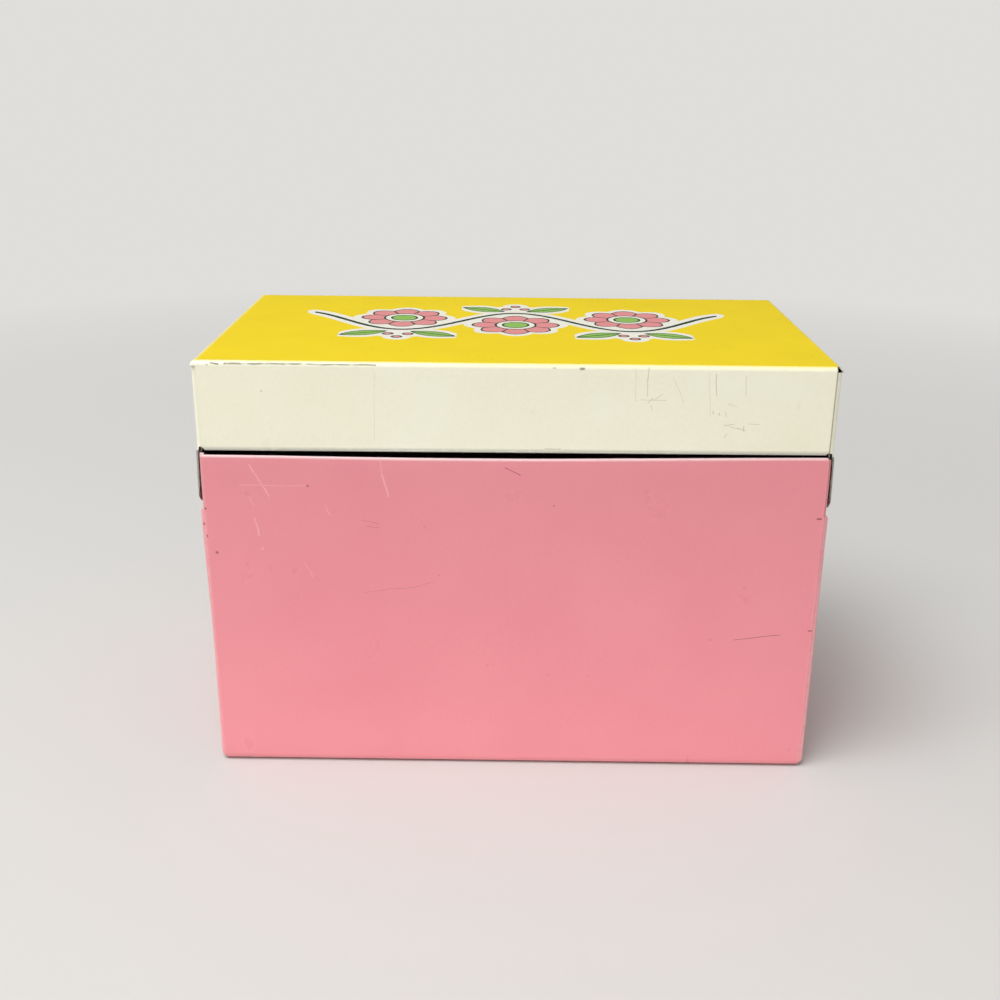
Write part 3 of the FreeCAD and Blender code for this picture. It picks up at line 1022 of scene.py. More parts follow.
@dataclass(frozen=True)
class VinePrint:
    """A running vine of the common kind, with a blossom in each bend, in millimetres."""

    centre_y: float = 6.0
    pitch: float = 27.0
    rise: float = 10.0
    stem_reach: float = 49.0
    blossom_reach: float = 40.5
    blossom_radius: float = 10.5
    blossom_drop: float = 3.5
    petals: int = 8
    lobe_share: float = 0.2
    petal_gap: float = 0.13
    stem_half: float = 0.65
    leaf_place: tuple[float, float, float] = (8.0, 14.5, 0.0)
    leaf_turn: float = 25.0
    leaf_half_length: float = 6.0
    leaf_half_width: float = 2.6
    berry_pair: tuple[float, float, float] = (2.3, 15.0, 0.0)
    berry_tip: tuple[float, float, float] = (0.0, 18.2, 0.0)
    berry_radius: float = 1.35
    line: float = 0.5
    halo: float = 1.9
    white: str = "#e9e6da"
    dark: str = "#1e3b26"
    leaf_green: str = "#8dbb5a"
    pink: str = "#de8f8f"

    def lay(self, add: Adder, place: bpy.types.Node, ground: Feed) -> bpy.types.Node:
        """Return the ground with the vine printed on it.

        Args:
            add: adds a node to the material
            place: the point, in millimetres
            ground: the colour below the print

        Returns:
            The colour's node.
        """
        moved = add("VectorMath", {0: place, 1: (0.0, self.centre_y, 0.0)}, operation="SUBTRACT")
        flat = add("SeparateXYZ", {"Vector": moved}).outputs
        x, y = flat["X"], flat["Y"]
        far = calc(add, "ABSOLUTE", x)

        angle = calc(add, "MULTIPLY", x, math.pi / self.pitch)
        crest = calc(add, "MULTIPLY", calc(add, "COSINE", angle), self.rise)
        climb = calc(add, "MULTIPLY", calc(add, "SINE", angle), self.rise * math.pi / self.pitch)
        slope = calc(add, "SQRT", calc(add, "MULTIPLY_ADD", climb, climb, 1.0))
        off = calc(add, "ABSOLUTE", calc(add, "SUBTRACT", y, crest))
        beside = calc(add, "DIVIDE", off, slope)
        past = calc(add, "SUBTRACT", far, self.stem_reach)
        beyond = calc(add, "MAXIMUM", past, 0.0)
        from_stem = add("VectorMath", {0: add("CombineXYZ", {"X": beside, "Y": beyond})},
                        operation="LENGTH").outputs["Value"]
        stem = calc(add, "SUBTRACT", from_stem, self.stem_half)

        index = calc(add, "ROUND", calc(add, "DIVIDE", x, self.pitch))
        across = calc(add, "MULTIPLY_ADD", index, -self.pitch, x)
        flip = calc(add, "COSINE", calc(add, "MULTIPLY", index, math.pi))
        up = calc(add, "MULTIPLY", y, flip)
        mirrored = calc(add, "ABSOLUTE", across)
        edge = calc(add, "MULTIPLY", calc(add, "GREATER_THAN", far, self.blossom_reach), self.pitch)

        high = calc(add, "ADD", up, self.blossom_drop)
        radius = add("VectorMath", {0: add("CombineXYZ", {"X": across, "Y": high})},
                     operation="LENGTH").outputs["Value"]
        turn = calc(add, "ARCTAN2", high, across)
        lobes = calc(add, "MULTIPLY", turn, self.petals / 2)
        ridge = calc(add, "ABSOLUTE", calc(add, "COSINE", lobes))
        reach = calc(add, "MULTIPLY_ADD", ridge, self.lobe_share * self.blossom_radius,
                     (1 - self.lobe_share) * self.blossom_radius)
        petal = calc(add, "ADD", calc(add, "SUBTRACT", radius, reach), edge)

        spot = add("CombineXYZ", {"X": mirrored, "Y": up})
        leaf_spot = add("Mapping", {"Vector": spot, "Location": self.leaf_place,
                                    "Rotation": (0.0, 0.0, math.radians(self.leaf_turn))},
                        vector_type="TEXTURE")
        on_leaf = add("SeparateXYZ", {"Vector": leaf_spot}).outputs
        span = calc(add, "DIVIDE", on_leaf["X"], self.leaf_half_length)
        swell = calc(add, "MULTIPLY_ADD", calc(add, "MULTIPLY", span, span), self.leaf_half_width,
                     -self.leaf_half_width)
        rib = calc(add, "ABSOLUTE", on_leaf["Y"])
        leaf = calc(add, "ADD", calc(add, "ADD", rib, swell), edge)

        pair = add("VectorMath", {0: spot, 1: self.berry_pair}, operation="DISTANCE").outputs["Value"]
        single = add("VectorMath", {0: spot, 1: self.berry_tip}, operation="DISTANCE").outputs["Value"]
        closest = calc(add, "MINIMUM", pair, single)
        berry = calc(add, "ADD", calc(add, "SUBTRACT", closest, self.berry_radius), edge)

        motifs = (stem, petal, leaf, berry)
        nearest = reduce(lambda one, two: calc(add, "MINIMUM", one, two), motifs)
        colour = blend(add, calc(add, "LESS_THAN", nearest, self.halo), ground, linear(self.white))
        fills = ((stem, self.dark), (leaf, self.leaf_green), (petal, self.pink), (berry, self.pink))
        for motif, filled in fills:
            inked = calc(add, "LESS_THAN", motif, 0.0)
            lined = calc(add, "LESS_THAN", motif, -self.line)
            colour = blend(add, inked, colour, linear(self.dark))
            colour = blend(add, lined, colour, linear(filled))
        veined = calc(add, "LESS_THAN", rib, self.line / 2)
        in_leaf = calc(add, "LESS_THAN", leaf, -self.line)
        colour = blend(add, calc(add, "MULTIPLY", veined, in_leaf), colour, linear(self.dark))
        split = calc(add, "LESS_THAN", ridge, self.petal_gap)
        in_petal = calc(add, "LESS_THAN", petal, 0.0)
        colour = blend(add, calc(add, "MULTIPLY", split, in_petal), colour, linear(self.dark))
        core = calc(add, "ADD", radius, edge)
        for size, ink in ((5.0, self.dark), (4.5, self.white), (3.3, self.dark), (2.8, self.leaf_green)):
            inside = calc(add, "LESS_THAN", core, size)
            colour = blend(add, inside, colour, linear(ink))
        return colour


@dataclass(frozen=True)
class LidEnamel(Enamel):
    """The lid's enamel: cream walls and a yellow top, with a vine printed on the yellow, and painted shade
    on the lower hem and on the ears.
    """

    ground: str = "#f6f4de"
    shade: str = "#f4f0d6"
    # the lid's pale folds: rubbed paint plus a painted highlight
    rubbed_highlight: str = "#f6f3e4"
    half_x: float = LID_HIGH.x
    half_y: float = LID_HIGH.y
    level: float = LID_HIGH.z
    scratches: tuple[Stroke, ...] = LID_SCRATCHES
    marks: tuple[Stroke, ...] = LID_MARKS
    scratch_colour: str = "#b5ac7c"
    mark_colour: str = "#6b6650"
    # painted shade on the lid's downturned lower hem
    rim_shading_colour: str = "#a9a9a0"
    rim_core: float = 0.0
    rim_reach: float = 1.1
    seam_x: float = LID_HIGH.x - 1.15
    # painted shade in the lid's seam gap
    seam_shade_colour: str = "#8a8065"
    chip_start: float = 0.96
    top_colour: str = "#edd116"
    border_depth: float = 1.0
    border_start: float = -0.1
    border_end: float = 2.3
    border_shift_left: float = 0.42
    border_shift_right: float = -0.1
    border_shift_end: float = -5.0
    # the ears below the lid's edge are painted dark grey as shade
    ear_shade_drop: float = 0.5
    ear_shade_depth: float = 1.1
    ear_x: float = 66.5
    ear_y: float = -26.2
    ear_shade: str = "#55574c"
    vine: VinePrint = VinePrint()

    def rim_shading_and_rub(self, add: Adder, place: bpy.types.Node) -> bpy.types.Node:
        """Return a node that is 1 on the lid's lower edge, where shade on the downturned hem is painted
        grey.

        Args:
            add: adds a node to the material
            place: the point, in millimetres

        Returns:
            The node.
        """
        spot = add("SeparateXYZ", {"Vector": place}).outputs
        hang = calc(add, "MULTIPLY_ADD", spot["X"], LID_HANG.tilt, LID_HANG.drop)
        raised = calc(add, "ADD", spot["Z"], hang)
        off = calc(add, "SUBTRACT", raised, BODY_FORM.lid_edge_z)
        line = ramp(add, calc(add, "ABSOLUTE", off), self.rim_reach, self.rim_core)
        wide = calc(add, "LESS_THAN", calc(add, "ABSOLUTE", spot["X"]), self.ear_x)
        ahead = calc(add, "GREATER_THAN", spot["Y"], self.ear_y)
        off_ear = calc(add, "MAXIMUM", wide, ahead)
        return calc(add, "MULTIPLY", line, off_ear)

    def print_on(self, add: Adder, place: bpy.types.Node) -> bpy.types.Node:
        """Return the printed colour before any wear, with painted shade on the ears below the lid's edge.

        Args:
            add: adds a node to the material
            place: the point, in millimetres

        Returns:
            The colour's node.
        """
        walls = super().print_on(add, place)
        printed = self.vine.lay(add, place, linear(self.top_colour))
        spot = add("SeparateXYZ", {"Vector": add("VectorMath", {0: place}, operation="ABSOLUTE")}).outputs
        across = calc(add, "SUBTRACT", self.half_x, spot["X"])
        deep = calc(add, "SUBTRACT", self.half_y, spot["Y"])
        inset = calc(add, "MINIMUM", across, deep)
        signed = add("SeparateXYZ", {"Vector": place}).outputs
        shift = add("MapRange", {"Value": signed["X"], "From Min": -self.half_x,
                                 "From Max": self.border_shift_end, "To Min": self.border_shift_left,
                                 "To Max": self.border_shift_right})
        climb = calc(add, "SUBTRACT", signed["Z"], self.level - self.border_depth)
        around = calc(add, "SUBTRACT", calc(add, "ADD", inset, climb), shift)
        on_top = add("MapRange", {"Value": around, "From Min": self.border_start,
                                  "From Max": self.border_end}, interpolation_type="SMOOTHSTEP")
        colour = blend(add, on_top, walls, printed)
        # painted shade on the ears' rear edges below the lid's edge
        low = calc(add, "LESS_THAN", signed["Z"], BODY_FORM.lid_edge_z - self.ear_shade_drop)
        behind = calc(add, "LESS_THAN", signed["Y"], self.ear_shade_depth - self.half_y)
        ear_shaded = calc(add, "MULTIPLY", low, behind)
        return blend(add, ear_shaded, colour, linear(self.ear_shade))


@dataclass(frozen=True)
class BareMetal(Finish):
    """Tin-plated steel without paint.

    It gives the eye a grey shine drawn into fine streaks by the mill's rolls, with dull spots
    where the tin is thin and a little rust.
    """

    metallic: float = 1.0
    colour: str = "#c9c6bf"
    dulled: str = "#a39d93"
    rust: str = "#7a3f2a"
    roughness: float = 0.34
    streak: tuple[float, float, float] = (0.03, 2.4, 2.4)
    spot_size: float = 5.0
    dull_span: tuple[float, float] = (0.45, 0.7)
    rust_start: float = 0.68
    rust_fade: float = 0.07
    roughness_less: float = 0.06
    roughness_more: float = 0.1
    streak_span: tuple[float, float] = (0.3, 0.7)
    streak_strength: float = 0.12
    streak_depth: float = 0.00004

    def paint(self, add: Adder, place: bpy.types.Node) -> tuple[bpy.types.Node, ...]:
        """Return the nodes of the colour, the roughness and the normal.

        Args:
            add: adds a node to the material
            place: the point, in millimetres

        Returns:
            The three nodes.
        """
        drawn = add("VectorMath", {0: place, 1: self.streak}, operation="MULTIPLY")
        streaks = add("TexNoise", {"Vector": drawn, "Scale": 1.0, "Detail": 3.0})
        spots = add("TexNoise", {"Vector": place, "Scale": 1 / self.spot_size, "Detail": 6.0})
        dim = ramp(add, spots, self.dull_span[0], self.dull_span[1])
        colour = blend(add, dim, linear(self.colour), linear(self.dulled))
        rusted = ramp(add, spots, self.rust_start, self.rust_start + self.rust_fade)
        colour = blend(add, rusted, colour, linear(self.rust))
        roughness = add("MapRange", {"Value": streaks, "From Min": self.streak_span[0],
                                     "From Max": self.streak_span[1],
                                     "To Min": self.roughness - self.roughness_less,
                                     "To Max": self.roughness + self.roughness_more})
        normal = add("Bump", {"Height": streaks, "Strength": self.streak_strength,
                              "Distance": self.streak_depth})
        return colour, roughness, normal


PINK_ENAMEL = Enamel("pink baked enamel on tinplate")
CREAM_ENAMEL = LidEnamel("cream and yellow baked enamel on tinplate")
BARE_TINPLATE = BareMetal("rolled bare tinplate")
SHEARED_EDGE = BareMetal("sheared tinplate edge", colour="#a9a49b", dulled="#7d746c", roughness=0.5,
                         streak=(2.4, 2.4, 2.4), spot_size=2.2, rust_start=0.55)
RIVET_METAL = BareMetal("turned tin-plated steel", colour="#bdb9b0", dulled="#8f887e", roughness=0.36,
                        streak=(6.0, 0.8, 0.8), spot_size=1.6, rust_start=0.63)


@dataclass
class Part:
    """What a piece of the tin is called, which solid it stands for and what it rides on."""

    name: str
    node: str
    carrier: Carrier
    slot: Slot

    def hand_over(self, piece: bpy.types.Object, finishes: Sequence[Finish]) -> None:
        """Bring the piece to metres, dress it and let it stand for its solid.

        Args:
            piece: the piece, in millimetres
            finishes: one for each of the piece's material places
        """
        piece.scale = (METRES_PER_MM,) * 3
        apply_place(piece)
        for place, finish in enumerate(finishes):
            if place < len(piece.material_slots):
                piece.material_slots[place].material = finish.material()
            else:
                piece.data.materials.append(finish.material())
        bpy.ops.object.shade_smooth_by_angle(angle=math.radians(SMOOTH_DEGREES))
        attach(piece, self.carrier.value)
        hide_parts(self.node)
        LOG.info("%s: %d faces on %s", piece.name, len(piece.data.polygons), self.carrier.value)


@dataclass
class BodyWrap:
    """Rear wall, bottom and stepped front wall, bent from one strip."""

    part: Part = field(default_factory=lambda: Part("wrap_sheet", "body_wrap", Carrier.BODY, Slot.PINK))
    base_bend: float = BODY_FORM.base_bend
    step_bend: float = 0.6
    shoulder_z: float = BODY_FORM.shoulder_z
    step_height: float = 1.2
    rear_top_z: float = BODY_FORM.rear_top_z
    neck_y: float = 36.49
    rim_notch: float = 0.45
    bow: float = 0.12
    bow_ripple: float = 0.03
    bow_reach: float = 57.0
    bow_rise: tuple[float, float] = (6.0, 34.0)
    bow_fall: tuple[float, float] = (44.0, 70.0)
    ripple_x: float = 11.0
    ripple_z: float = 17.0
    lift_start: float = 55.0
    bottom_reach: float = 30.0
    cell: float = 4.0

    def __post_init__(self) -> None:
        """Read the strip's overall sizes from its solid."""
        low, high = box_of(self.part.node)
        self.half_length = high.x
        self.leaf_x = high.x - GAUGE.hem_relief
        self.wall_y = high.y - GAUGE.half
        self.neck_top_z = high.z
        self.base_z = low.z + GAUGE.half

    def fold_walls(self) -> Bench:
        """Fold the walls up from the bottom and return the strip on its bench."""
        bend = self.base_bend - GAUGE.half
        flat_y = self.wall_y - bend
        bench = Bench.with_panel(self.part.name, Vector((-self.half_length, -flat_y, self.base_z)),
                                 Vector((self.half_length, flat_y, self.base_z)))

        bench.pick_rim(lambda middle: middle.y < TOUCH - flat_y)
        rear = Brake(bench, Vector((0, -flat_y, self.base_z)), -Axis.Y.unit, Axis.X.unit)
        rear.fold(-90, bend)
        rear.straight(self.rear_top_z - GAUGE.hem_lead - rear.spot.z)
        rear.hem(-180)

        step_in = self.wall_y - self.neck_y + GAUGE.half
        lean = math.degrees(math.atan2(step_in, self.step_height))
        reach = self.step_bend * math.tan(math.radians(lean) / 2)
        bench.pick_rim(lambda middle: middle.y > flat_y - TOUCH)
        front = Brake(bench, Vector((0, flat_y, self.base_z)), Axis.Y.unit, Axis.X.unit)
        front.fold(90, bend)
        front.straight(self.shoulder_z - reach - front.spot.z)
        front.fold(lean, self.step_bend)
        front.straight(math.hypot(step_in, self.step_height) - 2 * reach)
        front.fold(-lean, self.step_bend)
        front.straight(self.neck_top_z - GAUGE.hem_lead - front.spot.z)
        front.hem(180)
        return bench

    def trim_ends(self, bench: Bench) -> None:
        """Cut the hems' inner leaves short and notch the rear rim's ends.

        Args:
            bench: the folded strip
        """
        bench.score(Axis.X, (-self.leaf_x, self.leaf_x))
        rear_leaf_y = GAUGE.half - self.wall_y
        front_leaf_y = self.neck_y - GAUGE.sheet
        rear_leaf_z = self.rear_top_z - GAUGE.hem_depth
        neck_leaf_z = self.neck_top_z - GAUGE.hem_depth
        bench.trim(lambda middle: abs(middle.x) > self.leaf_x and middle.z > rear_leaf_z
                   and rear_leaf_y < middle.y < 0)
        bench.trim(lambda middle: abs(middle.x) > self.leaf_x and middle.z > neck_leaf_z
                   and 0 < middle.y < front_leaf_y)
        for side in Side:
            corner = Vector((side.value * self.half_length, 0, self.rear_top_z - self.rim_notch))
            bench.shear_off(lambda middle, way=side.value: middle.y < 0 and middle.x * way > self.leaf_x,
                            corner, Vector((side.value, 0, 1)))

    def settle(self, corner: Vector) -> Vector:
        """Return where a corner lies in a tin that has been used for years.

        The walls bow out a little between their folds. The rear rim sags in the middle and
        stands higher towards its right end.

        Args:
            corner: the corner as it was folded

        Returns:
            Its place now.
        """
        out = 0.0
        if abs(corner.y) > self.wall_y - self.base_bend:
            upright = ease(corner.z, *self.bow_rise) * (1 - ease(corner.z, *self.bow_fall))
            phase = corner.x / self.ripple_x + corner.z / self.ripple_z
            swell = self.bow + self.bow_ripple * math.sin(phase)
            out = swell * crown(corner.x, self.bow_reach) * upright * math.copysign(1.0, corner.y)
        lift = 0.0
        if corner.y < 0:
            lift = BODY_FORM.rim_lift(corner.x)
            lift *= ease(corner.z, self.lift_start, self.rear_top_z - GAUGE.hem_depth)
        return BODY_FORM.spread(corner + Vector((0, out, lift)))

    def build(self) -> None:
        """Fold the wrap, let it settle and hand it over."""
        bench = self.fold_walls()
        self.trim_ends(bench)
        bench.score(Axis.X, spaced(-self.leaf_x, self.leaf_x, self.cell)[1:-1])
        bench.score(Axis.Z, spaced(self.base_bend + self.cell, self.shoulder_z - self.cell, self.cell))
        bench.score(Axis.Y, spaced(-self.bottom_reach, self.bottom_reach, self.cell))
        bench.face_out(-Axis.Y.unit)
        bench.reshape(self.settle)
        piece = bench.close()
        thicken(piece)
        self.part.hand_over(piece, (PINK_ENAMEL, BARE_TINPLATE, SHEARED_EDGE))


@dataclass
class EndPanels:
    """The two ends: shallow trays whose flanges lie inside the wrap, with stepped necks."""

    right: Part = field(default_factory=lambda: Part("right_end_sheet", "right_end_panel",
                                                     Carrier.BODY, Slot.PINK))
    left: Part = field(default_factory=lambda: Part("left_end_sheet", "left_end_panel",
                                                    Carrier.BODY, Slot.PINK))
    corner_bend: float = 0.9
    base_bend: float = BODY_FORM.base_bend
    step_depth: float = 0.72
    pocket_margin: float = 0.4
    shoulder_z: float = BODY_FORM.shoulder_z
    rear_top_z: float = BODY_FORM.rear_top_z
    tongue_front: float = 36.11
    clearance: float = 0.2
    leaf_x: float = 65.73
    tenon_radius: float = 1.2
    sink: float = 0.1
    sink_reach: float = 32.0
    sink_rise: tuple[float, float] = (5.0, 28.0)
    sink_fall: tuple[float, float] = (38.0, 58.0)
    face_reach: float = 34.0
    foot_gap: float = 1.0
    cell: float = 4.0

    def __post_init__(self) -> None:
        """Read the tray's overall sizes and the rivet's place from the right-hand solids."""
        low, high = box_of(self.right.node)
        rivet_low, rivet_high = box_of("right_hinge_rivet")
        self.pivot = (rivet_low + rivet_high) / 2
        ear_reach = self.pivot.z - LID_LOW.z
        self.pocket_z = LID_LOW.z - self.pocket_margin
        self.pocket_y = self.pivot.y + ear_reach + self.pocket_margin
        self.face_x = high.x - GAUGE.half
        self.flange_x = low.x
        self.flange_y = high.y - GAUGE.half
        self.base_z = low.z + GAUGE.half
        self.hem_start_z = high.z - GAUGE.hem_lead
        self.leaf_z = high.z - GAUGE.hem_depth
        self.middle_bend = self.corner_bend - GAUGE.half
        self.tongue_rear = self.middle_bend - self.flange_y
        self.neck_x = self.face_x - self.step_depth

    def raise_flanges(self) -> Bench:
        """Draw the tray's flanges round its flat face, and return it on its bench."""
        bench = Bench.with_panel(self.right.name, Vector((self.face_x, -self.flange_y, self.base_z)),
                                 Vector((self.face_x, self.flange_y, self.hem_start_z)))
        bench.pick("EDGE", lambda middle: middle.z < self.base_z + TOUCH)
        bench.round_edges(self.base_bend - self.base_z, 8, affect="VERTICES")
        bench.pick_rim(lambda middle: middle.z < self.hem_start_z - TOUCH)
        bench.draw_out(Vector((self.flange_x - self.face_x, 0, 0)))
        bench.pick("EDGE", lambda middle: middle.x > self.face_x - TOUCH
                   and middle.z < self.hem_start_z - TOUCH)
        bench.round_edges(self.middle_bend, 6)
        return bench

    def trim_rims(self, bench: Bench) -> None:
        """Cut the flanges down beside the wrap's rims, so that only the neck stands up.

        Args:
            bench: the tray
        """
        flange_top = self.shoulder_z - self.clearance
        hem_base = self.rear_top_z - GAUGE.hem_depth - self.clearance
        bench.score(Axis.Z, (hem_base, flange_top, self.rear_top_z))
        bench.score(Axis.Y, (self.tongue_rear, self.tongue_front))
        bench.score(Axis.X, (self.leaf_x,))
        bench.trim(lambda middle: middle.y < self.tongue_rear and middle.z > self.rear_top_z)
        bench.trim(lambda middle: middle.y > self.tongue_front and middle.z > flange_top)
        bench.trim(lambda middle: middle.y < self.tongue_rear and middle.z > hem_base
                   and middle.x < self.leaf_x)

    def recess(self, corner: Vector) -> Vector:
        """Return a corner pressed in by the step round the neck and the hinge's pocket.

        Args:
            corner: the corner before pressing

        Returns:
            Its place after pressing.
        """
        to_neck = self.shoulder_z + self.step_depth - corner.z
        to_pocket = max(self.pocket_z - corner.z, corner.y - self.pocket_y)
        outside = max(0.0, min(to_neck, to_pocket))
        return Vector((min(corner.x, self.neck_x + outside), corner.y, corner.z))

    def press_step(self, bench: Bench) -> None:
        """Press the step round the neck and the hinge's pocket, with sloping walls.

        Args:
            bench: the trimmed tray
        """
        depth = self.step_depth
        bench.score(Axis.Z, (self.pocket_z - depth, self.pocket_z, self.shoulder_z, self.shoulder_z + depth))
        bench.score(Axis.Y, (self.pocket_y, self.pocket_y + depth))
        for corner_z in (self.pocket_z, self.shoulder_z + depth):
            bench.pick("FACE", lambda middle, top=corner_z: top - depth < middle.z < top
                       and self.pocket_y < middle.y < self.pocket_y + depth)
            bpy.ops.mesh.bisect(plane_co=(0, self.pocket_y, corner_z), plane_no=(0, 1, 1))
        bench.reshape(self.recess)

    def hem_neck(self, bench: Bench) -> None:
        """Fold the neck's rim inwards.

        Args:
            bench: the pressed tray
        """
        bench.pick_rim(lambda middle: middle.z > self.hem_start_z - TOUCH)
        rim = Brake(bench, Vector((self.neck_x, 0, self.hem_start_z)), Axis.Z.unit, Axis.Y.unit)
        rim.hem(-180)
        leaf_end = self.tongue_front - GAUGE.hem_relief
        bench.score(Axis.Y, (leaf_end,))
        bench.trim(lambda middle: middle.y > leaf_end and middle.z > self.leaf_z
                   and middle.x < self.neck_x - GAUGE.half)

    def settle(self, corner: Vector) -> Vector:
        """Return where a corner lies once the flat end has sunk in a little.

        Args:
            corner: the corner as it was pressed

        Returns:
            Its place now.
        """
        upright = ease(corner.z, *self.sink_rise) * (1 - ease(corner.z, *self.sink_fall))
        flat = corner.x > self.face_x - TOUCH
        return corner - Vector((self.sink * crown(corner.y, self.sink_reach) * upright * flat, 0, 0))

    def build(self) -> None:
        """Form the right end, copy it for the left and hand both over."""
        bench = self.raise_flanges()
        self.trim_rims(bench)
        self.press_step(bench)
        self.hem_neck(bench)
        bench.score(Axis.Y, spaced(-self.face_reach, self.face_reach, self.cell))
        bench.score(Axis.Z, spaced(self.base_bend + self.foot_gap, self.pocket_z - self.cell, self.cell))
        bench.face_out(Axis.X.unit)
        bench.reshape(self.settle)
        right = bench.close()
        left = mirror_copy(right, self.left.name)
        hole_x = self.neck_x + BODY_FORM.spread_x
        for part, piece, side in ((self.right, right, Side.RIGHT), (self.left, left, Side.LEFT)):
            select_only(piece)
            bench = Bench(part.name)
            bench.reshape(BODY_FORM.spread)
            bench.close()
            thicken(piece)
            punch(piece, Vector((side.value * hole_x, self.pivot.y, self.pivot.z)), self.tenon_radius)
            part.hand_over(piece, (PINK_ENAMEL, BARE_TINPLATE, SHEARED_EDGE))


@dataclass
class FoldedLid:
    """The lid: top, four walls with turned-in hems, corner tabs and two hinge ears."""

    part: Part = field(default_factory=lambda: Part("lid_sheet", "lid", Carrier.LID, Slot.CREAM))
    skirt: float = 19.0
    bend: float = 1.0
    seam_inset: float = 1.15
    tab_length: float = 9.0
    band: float = 0.1
    relief: float = 0.05
    seam_notch: float = 0.9
    ear_radius: float = 5.0
    ear_root_fillet: float = 1.2
    ear_lip_degrees: float = 60.0
    ear_splay: float = 0.5
    hole_radius: float = 1.55
    tab_clearance: float = 0.2
    splay_fade: float = 2.0
    top_sag: float = 0.22
    top_ripple: float = 0.05
    top_ripple_x: float = 9.0
    top_ripple_y: float = 13.0
    top_sag_x: float = 62.0
    top_sag_y: float = 34.0
    wall_sink: float = 0.06
    wall_sink_x: float = 57.0
    wall_sink_fade: tuple[float, float] = (1.0, 8.0)
    score_x: float = 56.0
    score_rear: float = -24.0
    score_front: float = 34.0
    cell: float = 4.0

    def __post_init__(self) -> None:
        """Read the lid's overall sizes and its pivot from the solids."""
        low, high = box_of(self.part.node)
        rivet_low, rivet_high = box_of("right_hinge_rivet")
        self.pivot = (rivet_low + rivet_high) / 2
        self.wall_x = high.x - GAUGE.half
        self.wall_y = high.y - GAUGE.half
        self.top_z = high.z - GAUGE.half
        self.edge_z = high.z - self.skirt
        self.seam_x = high.x - self.seam_inset
        self.leaf_x = self.seam_x - GAUGE.hem_relief
        self.tab_x = high.x - self.tab_length
        self.bend_y = high.y - GAUGE.sheet - self.bend
        self.middle_bend = self.bend - GAUGE.half
        self.tab_y = self.bend_y + self.middle_bend
        self.band_z = self.top_z - self.middle_bend - self.band
        self.tab_top_z = self.band_z - self.relief
        self.hem_start_z = self.edge_z + GAUGE.hem_lead
        self.ear_tip_z = low.z
        self.ear_hub_z = low.z + self.ear_radius
        self.ear_front_y = self.pivot.y + self.ear_radius
        self.ear_root_y = self.ear_front_y + self.ear_root_fillet
        self.ear_root_z = self.edge_z - self.ear_root_fillet

    def fold_top(self) -> Bench:
        """Bend the top's four edges over, with mitred corners, and return it on its bench."""
        bench = Bench.with_panel(self.part.name, Vector((-self.wall_x, -self.wall_y, self.top_z)),
                                 Vector((self.wall_x, self.wall_y, self.top_z)))
        bench.score(Axis.X, (-self.seam_x, self.seam_x))
        bench.score(Axis.Y, (-self.bend_y, self.ear_root_y, self.bend_y))
        bench.pick_rim(lambda middle: True)
        bench.draw_out(Vector((0, 0, self.band_z - self.top_z)))
        bench.pick("EDGE", lambda middle: middle.z > self.top_z - TOUCH
                   and (abs(middle.x) > self.wall_x - TOUCH or abs(middle.y) > self.wall_y - TOUCH))
        bench.round_edges(self.middle_bend, 8)
        return bench

    def drop_rear_and_front(self, bench: Bench) -> None:
        """Draw the rear and front walls down to their hems.

        Args:
            bench: the bent top
        """
        for way in (-1, 1):
            bench.pick_rim(lambda middle, way=way: middle.z < self.band_z + TOUCH
                           and middle.y * way > self.wall_y - TOUCH and abs(middle.x) < self.seam_x)
            wall = Brake(bench, Vector((0, way * self.wall_y, self.band_z)), -Axis.Z.unit, Axis.X.unit)
            wall.straight(self.band_z - self.hem_start_z)
            wall.hem(-180 * way)

    def drop_side(self, bench: Bench, side: Side) -> None:
        """Draw a side wall down to its hem, and on down to the end of its hinge ear.

        Args:
            bench: the lid with its rear and front walls
            side: which side
        """
        way = side.value
        level = self.hem_start_z

        def at_level(middle: Vector) -> bool:
            """Tell whether an edge is this side wall's lower end."""
            return abs(middle.z - level) < TOUCH and middle.x * way > self.wall_x - TOUCH

        bench.pick_rim(lambda middle: middle.z < self.band_z + TOUCH
                       and middle.x * way > self.wall_x - TOUCH and abs(middle.y) < self.bend_y)
        wall = Brake(bench, Vector((way * self.wall_x, 0, self.band_z)), -Axis.Z.unit, Axis.Y.unit)
        wall.straight(self.band_z - self.tab_top_z)
        wall.straight(self.tab_top_z - level)
        foot = Vector((way * self.wall_x, 0, level))
        bench.pick_rim(lambda middle: at_level(middle) and middle.y > self.ear_root_y)
        Brake(bench, foot, -Axis.Z.unit, Axis.Y.unit).hem(180 * way)
        bench.pick_rim(lambda middle: at_level(middle) and middle.y < self.ear_root_y)
        ear = Brake(bench, foot, -Axis.Z.unit, Axis.Y.unit)
        ear.straight(level - self.ear_hub_z)
        ear.straight(self.ear_hub_z - self.ear_tip_z)

    def turn_corners(self, bench: Bench, side: Side) -> None:
        """Turn a side wall's ends in behind the other walls, and the ear's rear edge with them.

        Args:
            bench: the lid with all its walls
            side: which side
        """
        way = side.value
        for end in (-1, 1):
            bench.pick_rim(lambda middle, end=end: middle.x * way > self.wall_x - TOUCH
                           and self.hem_start_z < middle.z < self.tab_top_z
                           and middle.y * end > self.bend_y - TOUCH)
            tab = Brake(bench, Vector((way * self.wall_x, end * self.bend_y, 0)),
                        Axis.Y.unit * end, Axis.Z.unit)
            tab.fold(90 * end * way, self.middle_bend)
            tab.straight(self.wall_x - self.middle_bend - self.tab_x)
        bench.pick_rim(lambda middle: middle.x * way > self.wall_x - TOUCH
                       and middle.z < self.hem_start_z and middle.y < TOUCH - self.bend_y)
        lip = Brake(bench, Vector((way * self.wall_x, -self.bend_y, 0)), -Axis.Y.unit, Axis.Z.unit)
        lip.fold(-self.ear_lip_degrees * way, self.middle_bend)

